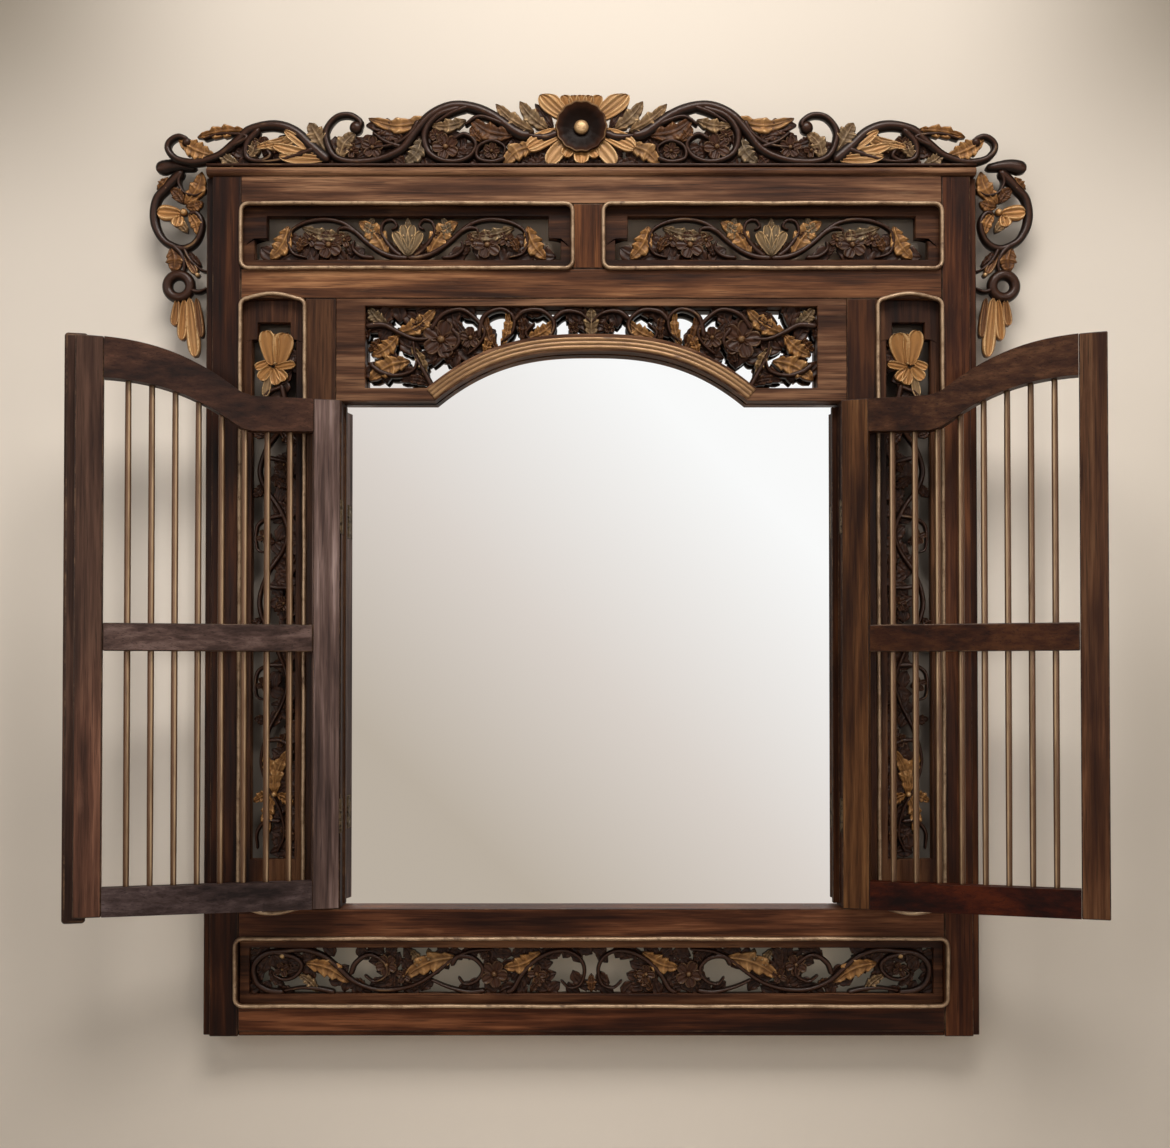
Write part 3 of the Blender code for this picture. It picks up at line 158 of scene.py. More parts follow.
def putMesh(name, points, faces, marks=None):
    # quads only; the marks are numbers kept at the points for the materials to read
    mesh = bpy.data.meshes.new(name)
    mesh.vertices.add(len(points))
    mesh.vertices.foreach_set("co", np.asarray(points, np.float32).ravel())
    mesh.loops.add(faces.size)
    mesh.loops.foreach_set("vertex_index", faces.astype(np.int32).ravel())
    mesh.polygons.add(len(faces))
    mesh.polygons.foreach_set("loop_start", np.arange(0, faces.size, 4, dtype=np.int32))
    mesh.polygons.foreach_set("use_smooth", np.ones(len(faces), bool))
    mesh.update(calc_edges=True)
    for key, values in (marks or {}).items():
        kept = mesh.attributes.new(key, "FLOAT", "POINT")
        kept.data.foreach_set("value", np.asarray(values, np.float32))
    made = bpy.data.objects.new(name, mesh)
    bpy.context.scene.collection.objects.link(made)
    return made


def tubeFaces(rings, around):
    # quads between neighbouring rings, and a strip of quads across each end ring
    index = np.arange(rings * around).reshape(rings, around)
    turned = np.roll(index, -1, axis=1)
    walls = np.stack([index[:-1], turned[:-1], turned[1:], index[1:]], axis=-1).reshape(-1, 4)
    low = np.arange(around // 2 - 1)
    strip = np.stack([low, low + 1, around - 2 - low, around - 1 - low], axis=-1)
    return np.vstack([walls, strip[:, ::-1], strip + (rings - 1) * around])


def loopFaces(rings, around):
    # quads of a shape that closes both ways, like a picture frame's moulding
    index = np.arange(rings * around).reshape(rings, around)
    nextRing = np.roll(index, -1, axis=0)
    return np.stack([index, np.roll(index, -1, axis=1), np.roll(nextRing, -1, axis=1), nextRing],
                    axis=-1).reshape(-1, 4)


def facingOut(points, faces):
    # a closed shell whose volume comes out negative has its faces turned round
    a, b, c, d = (points[faces[:, corner]] for corner in range(4))
    volume = (np.cross(b - a, c - a) * a).sum() + (np.cross(c - a, d - a) * a).sum()
    return faces if volume > 0 else faces[:, ::-1]


class Shells:
    # gathers closed shells, each with its marks, and makes one piece of them
    def __init__(self):
        self.points, self.faces, self.rise, self.tone = [], [], [], []
        self.count = 0

    # rise is how far a point stands forward: the carved and gilded finishes paint highlights where it is high
    # and shade where it is low
    def add(self, rings, rise, tone, closed=False):
        shape = rings.shape[:2]
        points = rings.reshape(-1, 3)
        faces = loopFaces(*shape) if closed else tubeFaces(*shape)
        self.faces.append(facingOut(points, faces) + self.count)
        self.points.append(points)
        self.rise.append(np.broadcast_to(rise, shape).ravel())
        self.tone.append(np.broadcast_to(tone, shape).ravel())
        self.count += len(points)

    def make(self, name, finish, body, replaced=(), slot=None):
        made = putMesh(name, np.vstack(self.points), np.vstack(self.faces),
                       {"rise": np.concatenate(self.rise), "tone": np.concatenate(self.tone)})
        return dress(made, finish, body, replaced)


def dress(piece, finish, body, replaced=()):
    for used in finish if isinstance(finish, (list, tuple)) else (finish,):
        piece.data.materials.append(used)
    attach(piece, body)
    if replaced:
        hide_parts(*replaced)
    return piece


def smoothRoute(corners, step=1.5 * mm):
    # Catmull-Rom curve: between two corners, the cubic whose slope at each is half the chord of its
    # neighbours. It is then respaced to even lengths along the curve.
    corners = np.asarray(corners, float)
    padded = np.vstack([2 * corners[0] - corners[1], corners, 2 * corners[-1] - corners[-2]])
    along = np.linspace(0, len(corners) - 1, 24 * len(corners))
    first = np.minimum(along.astype(int), len(corners) - 2)
    s = (along - first)[:, None]
    p0, p1, p2, p3 = (padded[first + k] for k in range(4))
    curve = 0.5 * (2 * p1 + (p2 - p0) * s + (2 * p0 - 5 * p1 + 4 * p2 - p3) * s ** 2
                   + (3 * p1 - p0 - 3 * p2 + p3) * s ** 3)
    return respaced(curve, step)


def respaced(curve, step):
    lengths = np.append(0, np.cumsum(np.linalg.norm(np.diff(curve, axis=0), axis=1)))
    count = max(int(lengths[-1] / step), 8)
    even = np.linspace(0, lengths[-1], count)
    return np.stack([np.interp(even, lengths, curve[:, axis]) for axis in range(curve.shape[1])], axis=1)


def sidewaysOf(curve, closed=False):
    # unit vectors in the X-Z plane, square to the curve
    if closed:
        way = np.roll(curve, -1, axis=0) - np.roll(curve, 1, axis=0)
    else:
        way = np.gradient(curve, axis=0)
    way = way / np.linalg.norm(way, axis=1, keepdims=True)
    return np.stack([-way[:, 1], way[:, 0]], axis=1)


def inPlane(curve, sideways, across, depth):
    # each ring is the curve's point moved sideways by across, at depth on Y
    x = curve[:, None, 0] + sideways[:, None, 0] * across
    z = curve[:, None, 1] + sideways[:, None, 1] * across
    return np.stack([x, np.broadcast_to(depth, x.shape), z], axis=-1)


def ringTurns(around):
    return (np.arange(around) + 0.5) * 2 * math.pi / around


# Materials

class Wire:
    # a socket that can be worked out with: each operator adds a Math node
    def __init__(self, nodes, socket):
        self.nodes, self.socket = nodes, socket

    def maths(self, operation, first, second=0.0):
        return self.nodes.add("Math", {"operation": operation}, {0: first, 1: second})

    def __add__(self, other):
        return self.maths("ADD", self, other)

    __radd__ = __add__

    def __sub__(self, other):
        return self.maths("SUBTRACT", self, other)

    def __rsub__(self, other):
        return self.maths("SUBTRACT", other, self)

    def __mul__(self, other):
        return self.maths("MULTIPLY", self, other)

    __rmul__ = __mul__

    def __pow__(self, times):
        result = self
        for _ in range(times - 1):
            result = result * self
        return result

    def clipped(self):
        return self.nodes.add("Math", {"operation": "ADD", "use_clamp": True}, {0: self, 1: 0.0})

    def between(self, low, high):
        # 0 below low, 1 above high and a smooth step from one to the other
        return self.nodes.add("MapRange", {"interpolation_type": "SMOOTHSTEP"},
                              {"Value": self, "From Min": low, "From Max": high})


class Nodes:
    # an empty node tree of a material or of the world, to which nodes are added
    def __init__(self, owner):
        owner.use_nodes = True
        self.tree = owner.node_tree
        self.tree.nodes.clear()

    def add(self, kind, settings=None, values=None, output=0):
        node = self.tree.nodes.new("ShaderNode" + kind)
        for key, value in (settings or {}).items():
            if key == "stops":
                self.fillRamp(node.color_ramp, value)
            else:
                setattr(node, key, value)
        for key, value in (values or {}).items():
            self.join(node.inputs[key], value)
        return Wire(self, None if output is None else node.outputs[output])

    def fillRamp(self, ramp, stops):
        while len(ramp.elements) > 1:
            ramp.elements.remove(ramp.elements[0])
        for count, (place, colour) in enumerate(stops):
            stop = ramp.elements[0] if count == 0 else ramp.elements.new(place)
            stop.position = place
            stop.color = (*colour, 1)

    def join(self, socket, value):
        if isinstance(value, Wire):
            self.tree.links.new(value.socket, socket)
        elif isinstance(value, tuple) and len(value) == 3 and socket.type == "RGBA":
            socket.default_value = (*value, 1)
        else:
            socket.default_value = value

    def mixed(self, factor, first, second, way="MIX"):
        return self.add("Mix", {"data_type": "RGBA", "blend_type": way}, {0: factor, 6: first, 7: second}, 2)


class Finish(Nodes):
    # a material with one shader
    def __init__(self, name, **constants):
        self.material = bpy.data.materials.new(name)
        super().__init__(self.material)
        self.shader = self.tree.nodes.new("ShaderNodeBsdfPrincipled")
        self.output = self.tree.nodes.new("ShaderNodeOutputMaterial")
        self.tree.links.new(self.shader.outputs[0], self.output.inputs[0])
        for key, value in constants.items():
            self.feed(key, value)

    def feed(self, key, value):
        self.join(self.shader.inputs[key.replace("_", " ")], value)

    def where(self, scale=(1, 1, 1), turn=0.0, move=(0, 0, 0)):
        # the place on the object in metres, turned about Z, then scaled
        place = self.add("TexCoord", output=3)
        values = {"Vector": place, "Scale": scale, "Rotation": (0, 0, turn), "Location": move}
        return self.add("Mapping", None, values)

    def noise(self, place, scale, detail=3.0, roughness=0.5, distortion=0.0):
        values = {"Vector": place, "Scale": scale, "Detail": detail, "Roughness": roughness,
                  "Distortion": distortion}
        return self.add("TexNoise", None, values)

    def mark(self, name):
        return self.add("Attribute", {"attribute_name": name}, output=2)

    def bump(self, height, strength, depth):
        self.feed("Normal", self.add("Bump", None, {"Height": height, "Strength": strength,
                                                    "Distance": depth}))


# each pattern's scale along the grain as a share, then its noise's scale, detail, roughness and distortion
grainPatterns = {
    "bands": (0.045, 30, 4, 0.6, 0.8),
    "streaks": (0.045, 170, 4, 0.65, 0.0),
    "pores": (0.02, 900, 2, 0.5, 0.0),
    "broad": (0.22, 14, 3, 0.6, 0.4),
    "rubbed": (0.22, 60, 5, 0.7, 0.0),
}
heightStainAndShadeSpan = (-0.22, -0.02)    # where a member whose colour changes from foot to top, partly by stain and partly by painted light and shade, makes that change


def woodFinish(name, look, grain="Z", turn=0.0, move=(0, 0, 0), tint=(1, 1, 1), heightStainAndShade=None):
    # long streaks of grain with short open pores, dark stained patches, and rubbed places that are lighter
    made = Finish(name)

    def pattern(key):
        along, *values = grainPatterns[key]
        return made.noise(made.where((1, 1, along) if grain == "Z" else (along, 1, 1), turn, move), *values)

    bands, streaks, pores, broad, rubbed = (pattern(key) for key in grainPatterns)
    mixture = (bands * 0.55 + streaks * 0.45 + (broad - 0.5) * look["patchy"]).clipped()
    colour = made.add("ValToRGB", {"stops": look["stops"]}, {"Fac": mixture})
    openPore = pores.between(0.58, 0.68)
    colour = made.mixed(openPore * 0.6, colour, look["pore"])
    worn = rubbed.between(0.56, 0.78) * broad.between(0.42, 0.62) * look["wear"]
    colour = made.mixed(worn, colour, look["rubbed"])
    # the member's tint is partly stain, partly painted light and shade
    colour = made.mixed(1.0, colour, tint, "MULTIPLY")
    # any change from foot to top is partly stain, partly painted light and shade
    if heightStainAndShade:
        height = made.add("SeparateXYZ", None, {0: made.where()}, 2)
        shade = made.mixed(height.between(*heightStainAndShadeSpan), (heightStainAndShade[0],) * 3, (heightStainAndShade[1],) * 3)
        colour = made.mixed(1.0, colour, shade, "MULTIPLY")
    made.feed("Base Color", colour)
    made.feed("Roughness", look["roughness"] + streaks * 0.22 - worn * 0.10)
    made.feed("Specular IOR Level", look["shine"])
    made.bump(streaks * 0.6 + (1 - openPore) * 0.5 + bands * 0.4, 0.4, 0.6 * mm)
    return made.material


frameLook = {
    "stops": ((0.34, (0.018, 0.0058, 0.0027)), (0.45, (0.066, 0.024, 0.0110)), (0.53, (0.135, 0.055, 0.026)),
              (0.63, (0.30, 0.145, 0.074))),
    "pore": (0.012, 0.005, 0.003),
    "rubbed": (0.30, 0.165, 0.092),
    "patchy": 0.55,
    "wear": 0.55,
    "roughness": 0.40,
    "shine": 0.14,
}
leftLook = {
    "stops": ((0.34, (0.022, 0.0115, 0.009)), (0.45, (0.066, 0.037, 0.029)), (0.53, (0.120, 0.073, 0.059)),
              (0.63, (0.22, 0.148, 0.125))),
    "pore": (0.015, 0.008, 0.007),
    "rubbed": (0.24, 0.165, 0.14),
    "patchy": 0.5,
    "wear": 0.5,
    "roughness": 0.44,
    "shine": 0.16,
}
rightLook = {
    "stops": ((0.34, (0.015, 0.0047, 0.0020)), (0.45, (0.049, 0.0180, 0.0082)),
              (0.53, (0.094, 0.039, 0.0185)), (0.63, (0.18, 0.089, 0.045))),
    "pore": (0.010, 0.0045, 0.003),
    "rubbed": (0.19, 0.105, 0.062),
    "patchy": 0.5,
    "wear": 0.45,
    "roughness": 0.40,
    "shine": 0.14,
}
edgeLook = {
    "dark": (0.030, 0.0125, 0.0065),
    "pale": (0.24, 0.130, 0.066),
    "share": 0.45,
}
# the carved stems' colours: painted shade in the hollows, a painted highlight on the crowns, and traces of gold
stemLook = {
    "shadedHollow": (0.0080, 0.0030, 0.0015),
    "litCrown": (0.050, 0.0175, 0.0080),
    "gold": (0.30, 0.17, 0.075),
}
plyStops = ((0.30, (0.17, 0.10, 0.055)), (0.55, (0.30, 0.195, 0.115)), (0.75, (0.38, 0.26, 0.16)))
gildLook = {
    "ground": (0.020, 0.0085, 0.0050),
    "leafStops": ((0.0, (0.045, 0.0175, 0.0095)), (0.16, (0.070, 0.028, 0.0135)),
                  (0.35, (0.17, 0.080, 0.030)), (0.66, (0.42, 0.228, 0.084)), (0.84, (0.37, 0.255, 0.14)),
                  (1.0, (0.20, 0.165, 0.118))),
    # painted shade in the gilded leaves' gutters
    "gutterShade": (0.42, 0.36, 0.30),
    "outside": (0.92, 0.79, 0.66),
    "inPanels": (0.82, 0.70, 0.56),
    # painted highlight on the gilded leaves' ribs
    "ridgeHighlight": (0.80, 0.60, 0.36),
    "worn": (0.085, 0.036, 0.017),
    # the beads, the arch and the spindles: a brown, partly painted shade, and a painted highlight each
    "bead": (0.125, 0.055, 0.022),
    "beadHighlight": (0.48, 0.325, 0.20),
    "arch": (0.13, 0.058, 0.022),
    "archHighlight": (0.36, 0.20, 0.085),
    "spindle": (0.115, 0.052, 0.021),
    "spindleHighlight": (0.52, 0.35, 0.205),
}


def edgeFinish(name):
    # arrises rubbed through the stain here and there
    made = Finish(name)
    patches = made.noise(made.where(), 60, 4, 0.7)
    along = made.noise(made.where(), 11, 2, 0.5)
    rubbed = (patches.between(0.42, 0.66) * along.between(0.30, 0.62) * edgeLook["share"]).clipped()
    made.feed("Base Color", made.mixed(rubbed, edgeLook["dark"], edgeLook["pale"]))
    made.feed("Roughness", 0.5 - rubbed * 0.15)
    made.feed("Specular IOR Level", 0.2)
    made.bump(patches, 0.3, 0.5 * mm)
    return made.material


def stemFinish(name, gilt=0.5, least=0.60, shine=0.26):
    # nearly black carved wood: a redder painted highlight where each bar faces forward and painted shade on its
    # sides and in its grooves; shinier on its crowns, with traces of gold
    made = Finish(name)
    rise = made.mark("rise")
    cuts = made.noise(made.where(), 240, 3, 0.6)
    broad = made.noise(made.where(), 30, 2, 0.5)
    litCrown = (rise.between(0.45, 1.0) * (0.35 + cuts * 0.9)).clipped()
    colour = made.mixed(litCrown, stemLook["shadedHollow"], stemLook["litCrown"])
    gold = rise.between(0.86, 1.0) * broad.between(least, least + 0.12) * gilt
    colour = made.mixed(gold, colour, stemLook["gold"])
    made.feed("Base Color", colour)
    made.feed("Roughness", 0.40 - litCrown * 0.12)
    made.feed("Specular IOR Level", shine)
    made.bump(cuts, 0.30, 0.8 * mm)
    return made.material


def leafFinish(name, tint=(1, 1, 1)):
    # gilding laid over a dark ground, with painted light: it is dulled by painted shade in the gutters, gives
    # way to the dark ground in the hollows, partly as painted shade, is full on the slopes, and a painted
    # highlight pales its ribs
    made = Finish(name)
    rise, tone = made.mark("rise"), made.mark("tone")
    spots = made.noise(made.where(), 300, 4, 0.65)
    broad = made.noise(made.where(), 45, 2, 0.5)
    shade = (tone + (broad - 0.5) * 0.2).clipped()
    paint = made.add("ValToRGB", {"stops": gildLook["leafStops"]}, {"Fac": shade})
    gutterShade = made.mixed(1.0, paint, gildLook["gutterShade"], "MULTIPLY")
    litSlope = (rise.between(0.22, 0.62) + (spots - 0.5) * 0.5).clipped()
    colour = made.mixed(litSlope, gutterShade, paint)
    shadedHollow = (1 - rise.between(0.02, 0.24)) * spots.between(0.30, 0.55)
    colour = made.mixed(shadedHollow.clipped(), colour, gildLook["ground"])
    ribHighlight = (rise.between(0.66, 0.92) * spots.between(0.32, 0.52) * (0.04 + tone * 0.95)).clipped()
    colour = made.mixed(ribHighlight, colour, gildLook["ridgeHighlight"])
    made.feed("Base Color", made.mixed(1.0, colour, tint, "MULTIPLY"))
    made.feed("Metallic", litSlope * tone.between(0.2, 0.5) * 0.20)
    made.feed("Roughness", 0.48 - litSlope * 0.10)
    made.feed("Specular IOR Level", 0.22)
    made.bump(spots, 0.25, 0.6 * mm)
    return made.material


def beadFinish(name, dark, light, grain=(1, 1, 1), pale=0.6):
    # bronze gilding: painted shade leaves it brown low on its sides, a painted highlight pales its crown where
    # the leaf is full, and it is worn to brown in patches
    made = Finish(name)
    patches = made.noise(made.where(grain), 55, 4, 0.65)
    fine = made.noise(made.where(grain), 260, 2, 0.5)
    leafed = patches.between(0.36, 0.56) * 0.55 + 0.45
    litCrown = (made.mark("rise").between(0.25, 0.95) * leafed * pale + (fine - 0.5) * 0.4).clipped()
    colour = made.mixed(litCrown, dark, light)
    worn = (made.noise(made.where(grain), 90, 3, 0.6).between(0.58, 0.72) * 0.7).clipped()
    colour = made.mixed(worn, colour, gildLook["worn"])
    made.feed("Base Color", colour)
    made.feed("Metallic", (1 - worn) * 0.35)
    made.feed("Roughness", 0.38 + worn * 0.18)
    made.bump(patches * 0.7 + fine * 0.3, 0.12, 0.5 * mm)
    return made.material


def mirrorFinish():
    made = Finish("Silvered glass", Metallic=1.0, Roughness=0.015)
    made.feed("Base Color", (0.93, 0.935, 0.93))
    return made.material


def metalFinish(name, pale, dark, roughness):
    made = Finish(name, Metallic=0.9)
    stains = made.noise(made.where(), 220, 4, 0.65)
    made.feed("Base Color", made.mixed(stains.between(0.40, 0.68), pale, dark))
    made.feed("Roughness", roughness + stains * 0.25)
    made.bump(stains, 0.2, 0.3 * mm)
    return made.material


def plyFinish():
    made = Finish("Backing plywood")
    streaks = made.noise(made.where((1, 1, 0.05)), 60, 4, 0.6, 1.2)
    made.feed("Base Color", made.add("ValToRGB", {"stops": plyStops}, {"Fac": streaks}))
    made.feed("Roughness", 0.72)
    made.bump(streaks, 0.2, 0.5 * mm)
    return made.material


shutterAngles = {"left": -165.0, "right": 162.0}
# how each member's colour is scaled, in red, green and blue: partly a difference of stain, partly painted light
# and shade
stainAndShade = {
    "stile_left": (0.285, 0.195, 0.133), "stile_right": (0.48, 0.335, 0.235), "jamb_left": (0.315, 0.265,
                                                                                            0.215),
    "jamb_right": (0.25, 0.168, 0.104), "muntin": (1.32, 1.12, 0.73), "rail_top": (1.04, 1.09, 1.11),
    "rail_frieze": (1.36, 1.33, 1.16), "rail_sill": (0.90, 0.76, 0.67), "rail_bottom": (0.72, 0.53, 0.42),
    "header": (0.79, 0.81, 0.82), "panel": (0.50, 0.44, 0.38), "apron": (0.72, 0.65, 0.58),
    "left_hinge_stile": (1.53, 1.62, 1.72), "left_meeting_stile": (0.66, 0.48, 0.36),
    "left_top_rail": (0.42, 0.26, 0.172), "left_mid_rail": (0.66, 0.61, 0.61),
    "left_bottom_rail": (0.57, 0.59, 0.68), "left_astragal": (0.46, 0.33, 0.25),
    "right_hinge_stile": (1.18, 1.13, 0.80), "right_meeting_stile": (0.92, 0.86, 0.76),
    "right_top_rail": (0.52, 0.44, 0.37), "right_mid_rail": (0.35, 0.23, 0.14),
    "right_bottom_rail": (0.38, 0.122, 0.04),
}
# how much paler each of these is at its foot and at its top: partly stain, partly painted light and shade
stainAndShadeByHeight = {
    "left_meeting_stile": (2.4, 0.64), "right_meeting_stile": (1.10, 0.80),
}
woods = {
    "headerBoard": woodFinish("Header wood", frameLook, "X", move=(1, 5, 2), tint=stainAndShade["header"]),
    "boardAcross": woodFinish("Panel wood across", frameLook, "X", move=(2, 4, 3), tint=stainAndShade["panel"]),
    "boardUp": woodFinish("Panel wood upright", frameLook, "Z", move=(6, 2, 5), tint=stainAndShade["panel"]),
    "boardLow": woodFinish("Apron board", frameLook, "X", move=(2, 6, 3), tint=stainAndShade["apron"]),
    "edge": edgeFinish("Rubbed edges"),
    "stem": stemFinish("Carved stems"),
    "cup": stemFinish("Rosette cup", 0.8, 0.40, 0.08),
    "leaf": leafFinish("Gilded carving", gildLook["outside"]),
    "panelLeaf": leafFinish("Gilded panel carving", gildLook["inPanels"]),
    "bead": beadFinish("Gilded bead", gildLook["bead"], gildLook["beadHighlight"], pale=1.0),
    "arch": beadFinish("Gilded arch", gildLook["arch"], gildLook["archHighlight"], (0.3, 1, 1), 0.8),
    "spindle": beadFinish("Gilded spindle", gildLook["spindle"], gildLook["spindleHighlight"], (1, 1, 0.12), 1.0),
}
metals = {
    "hinge": metalFinish("Aged hinge", (0.19, 0.13, 0.075), (0.035, 0.025, 0.018), 0.38),
    "screw": metalFinish("Dull screws", (0.30, 0.25, 0.18), (0.07, 0.055, 0.04), 0.35),
}
print("materials made")


# Joined wood: copies of the CAD members with softened edges

softened = {
    "frame": 1.1 * mm,
    "shutter": 1.3 * mm,
    "hinge": 0.25 * mm,
}


def softenedNode(name, finish, edge, width, body, segments=2):
    copied = nodes[name].data.copy()
    copied.name = name + "_finished"
    copied.materials.clear()
    work = bmesh.new()
    work.from_mesh(copied)
    bmesh.ops.remove_doubles(work, verts=work.verts, dist=0.01 * mm)
    bmesh.ops.dissolve_limit(work, angle_limit=math.radians(1), verts=work.verts, edges=work.edges)
    work.to_mesh(copied)
    work.free()
    piece = bpy.data.objects.new(name + "_finished", copied)
    bpy.context.scene.collection.objects.link(piece)
    bevel = piece.modifiers.new("Softened edges", "BEVEL")
    bevel.width = width
    bevel.segments = segments
    bevel.limit_method = "ANGLE"
    bevel.angle_limit = math.radians(35)
    bevel.material = 1 if edge else 0
    bevel.use_clamp_overlap = True
    return dress(piece, [finish, edge] if edge else [finish], body, [name])


def joinedPiece(count, name, look, body, width, turn=0.0):
    grain = "X" if "rail" in name else "Z"
    title = name.replace("_", " ").capitalize() + " wood"
    wood = woodFinish(title, look, grain, turn if grain == "X" else 0.0, (3 * count, 2, 1 + count),
                      stainAndShade[name],
                      stainAndShadeByHeight.get(name))
    softenedNode(name, wood, woods["edge"], width, body)


for count, name in enumerate(("stile_left", "stile_right", "jamb_left", "jamb_right", "muntin", "rail_top",
                              "rail_frieze", "rail_sill", "rail_bottom")):
    joinedPiece(count, name, frameLook, "frame", softened["frame"])
for side, look in (("left", leftLook), ("right", rightLook)):
    body = side + "_shutter"
    for count, name in enumerate(("hinge_stile", "meeting_stile", "top_rail", "mid_rail", "bottom_rail")):
        joinedPiece(count + 10, f"{side}_{name}", look, body, softened["shutter"],
                    -math.radians(shutterAngles[side]))
    for number in (1, 2):
        for leaf, carrier in (("frame_leaf", "frame"), ("shutter_leaf", body)):
            softenedNode(f"{side}_hinge_{number}_{leaf}", metals["hinge"], None, softened["hinge"], carrier,
                         1)
joinedPiece(20, "left_astragal", leftLook, "left_shutter", softened["shutter"])
nodes["mirror_glass"].data.materials[0] = mirrorFinish()
nodes["backing_board"].data.materials[0] = plyFinish()
screw = {
    "radius": 1.9 * mm,
    "proud": 0.3 * mm,
    "heights": (101 * mm, -257 * mm),
    "fromHeight": 13 * mm,
    "pin": (301 * mm, -40 * mm),            # |x| and y of the hinge pins
    "frameFace": (299.8 * mm, -26 * mm),    # |x| and y on the frame's hinge leaf
    "shutterFace": (2 * mm, 14 * mm),       # along the shutter and square to it, from the pin
}


def addScrew(shells, centre, outward):
    # a low dome turned about the way it faces, as rings that shrink by a quarter circle
    outward = np.array([*outward, 0.0])
    beside = np.array([-outward[1], outward[0], 0.0])
    turns = ringTurns(16)
    circle = beside * np.cos(turns)[:, None] + np.array([0, 0, 1.0]) * np.sin(turns)[:, None]
    share = np.linspace(0, 1, 6)
    reach = screw["radius"] * np.concatenate([[1.0], np.cos(share * math.pi / 2 * 0.97)])
    lift = screw["proud"] * np.concatenate([[-1.5], np.sin(share * math.pi / 2)])
    rings = centre + circle * reach[:, None, None] + outward * lift[:, None, None]
    shells.add(rings, 0.5, 0.5)


def addScrews(side, sign):
    pinX, pinY = screw["pin"]
    pin = np.array([-sign * pinX, pinY])
    angle = math.radians(shutterAngles[side])
    turned = np.array([[math.cos(angle), -math.sin(angle)], [math.sin(angle), math.cos(angle)]])
    held, carried = Shells(), Shells()
    across, depth = screw["frameFace"]
    along, square = screw["shutterFace"]
    for height in screw["heights"]:
        for step in (-1, 1):
            z = height + step * screw["fromHeight"]
            addScrew(held, np.array([-sign * across, depth, z]), (sign, 0))
            spot = pin + turned @ np.array([sign * along, square])
            addScrew(carried, np.array([*spot, z]), turned @ np.array([-sign, 0.0]))
    held.make(f"{side}_hinge_frame_screws", metals["screw"], "frame", slot="hinge_metal")
    carried.make(f"{side}_hinge_shutter_screws", metals["screw"], side + "_shutter", slot="hinge_metal")


for side, sign in sides.items():
    addScrews(side, sign)
print("joined wood and hinges finished")


# Sunk panels and the gilded beads round them

panels = {
    "front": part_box("apron_panel")[0].y,
    "back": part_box("apron_panel")[1].y,
    "arris": 0.8 * mm,
    "friezeMargin": 13 * mm,
    "friezeEnd": 30 * mm,
    "friezeNotch": 15 * mm,
    "sideMargin": 12.5 * mm,
    "sideTop": 27.5 * mm,
    "sideFoot": 58 * mm,
    "sideNeck": (7 * mm, 20 * mm),
    "apronEnd": 12 * mm,
    "clearance": 0.3 * mm,
}


def outlineBySections(corners, counts):
    # a closed outline with a stated number of even steps on each stretch between corners
    corners = np.asarray(corners, float)
    stretches = [corners[i] + (corners[(i + 1) % len(corners)] - corners[i]) * np.arange(n)[:, None] / n
                 for i, n in enumerate(counts)]
    return np.vstack(stretches)


def piercedBoard(name, outer, inner, front, back, finish, node):
    # the board's section, carried round from its outer outline to the matching point of its inner one
    way = inner - outer
    length = np.linalg.norm(way, axis=1, keepdims=True)
    way = way / length
    arris = panels["arris"]
    section = [(0, back), (0, front + arris), (arris, front), (-arris, front), (0, front + arris), (0, back)]
    rings = []
    for count, (inset, depth) in enumerate(section):
        place = outer + way * inset if count < 3 else inner + way * inset
        rings.append(np.stack([place[:, 0], np.full(len(place), depth), place[:, 1]], axis=1))
    shell = Shells()
    shell.add(np.stack(rings, axis=1), 0.5, 0.5, closed=True)
    made = shell.make(name, finish, "frame", [node])
    made.data.set_sharp_from_angle(angle=math.radians(30))
    return made


def bayOf(node):
    low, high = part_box(node)
    return low.x, high.x, low.z, high.z


def sunkBoard(node, outer, inner, counts, wood, field):
    # the board, and the middle, half width, foot and height of its field
    piercedBoard(node + "_board", outlineBySections(outer, counts), outlineBySections(inner, counts),
                 panels["front"], panels["back"], woods[wood], node)
    a, b, foot, top = field
    return (a + b) / 2, (b - a) / 2, foot, top - foot


def friezeBoard(node):
    left, right, low, high = bayOf(node)
    gap, notch, end = panels["clearance"], panels["friezeNotch"], panels["friezeEnd"] - panels["clearance"]
    foot, top = low + panels["friezeMargin"] - gap, high - panels["friezeMargin"] + gap
    step = (foot + top) / 2
    a, b = left + end, right - end
    inner = [(a - notch, foot), (b + notch, foot), (b + notch, step), (b, step), (b, top), (a, top),
             (a, step), (a - notch, step)]
    outer = [(left, low), (right, low), (right, step - notch), (right, step), (right, high), (left, high),
             (left, step), (left, step - notch)]
    counts = (40, 4, 4, 6, 40, 6, 4, 4)
    return sunkBoard(node, outer, inner, counts, "boardAcross", (a, b, foot, top))


def sideBoard(node):
    left, right, low, high = bayOf(node)
    gap = panels["clearance"]
    neckIn, neckDrop = panels["sideNeck"]
    a, b = left + panels["sideMargin"] - gap, right - panels["sideMargin"] + gap
    foot, top = low + panels["sideFoot"] - gap, high - panels["sideTop"] + gap
    neck = top - neckDrop
    inner = [(a, foot), (b, foot), (b, neck), (b - neckIn, neck), (b - neckIn, top), (a + neckIn, top),
             (a + neckIn, neck), (a, neck)]
    outer = [(left, low), (right, low), (right, neck - neckIn), (right, neck), (right, high), (left, high),
             (left, neck), (left, neck - neckIn)]
    counts = (8, 60, 3, 6, 8, 6, 3, 60)
    return sunkBoard(node, outer, inner, counts, "boardUp", (a, b, foot, top))


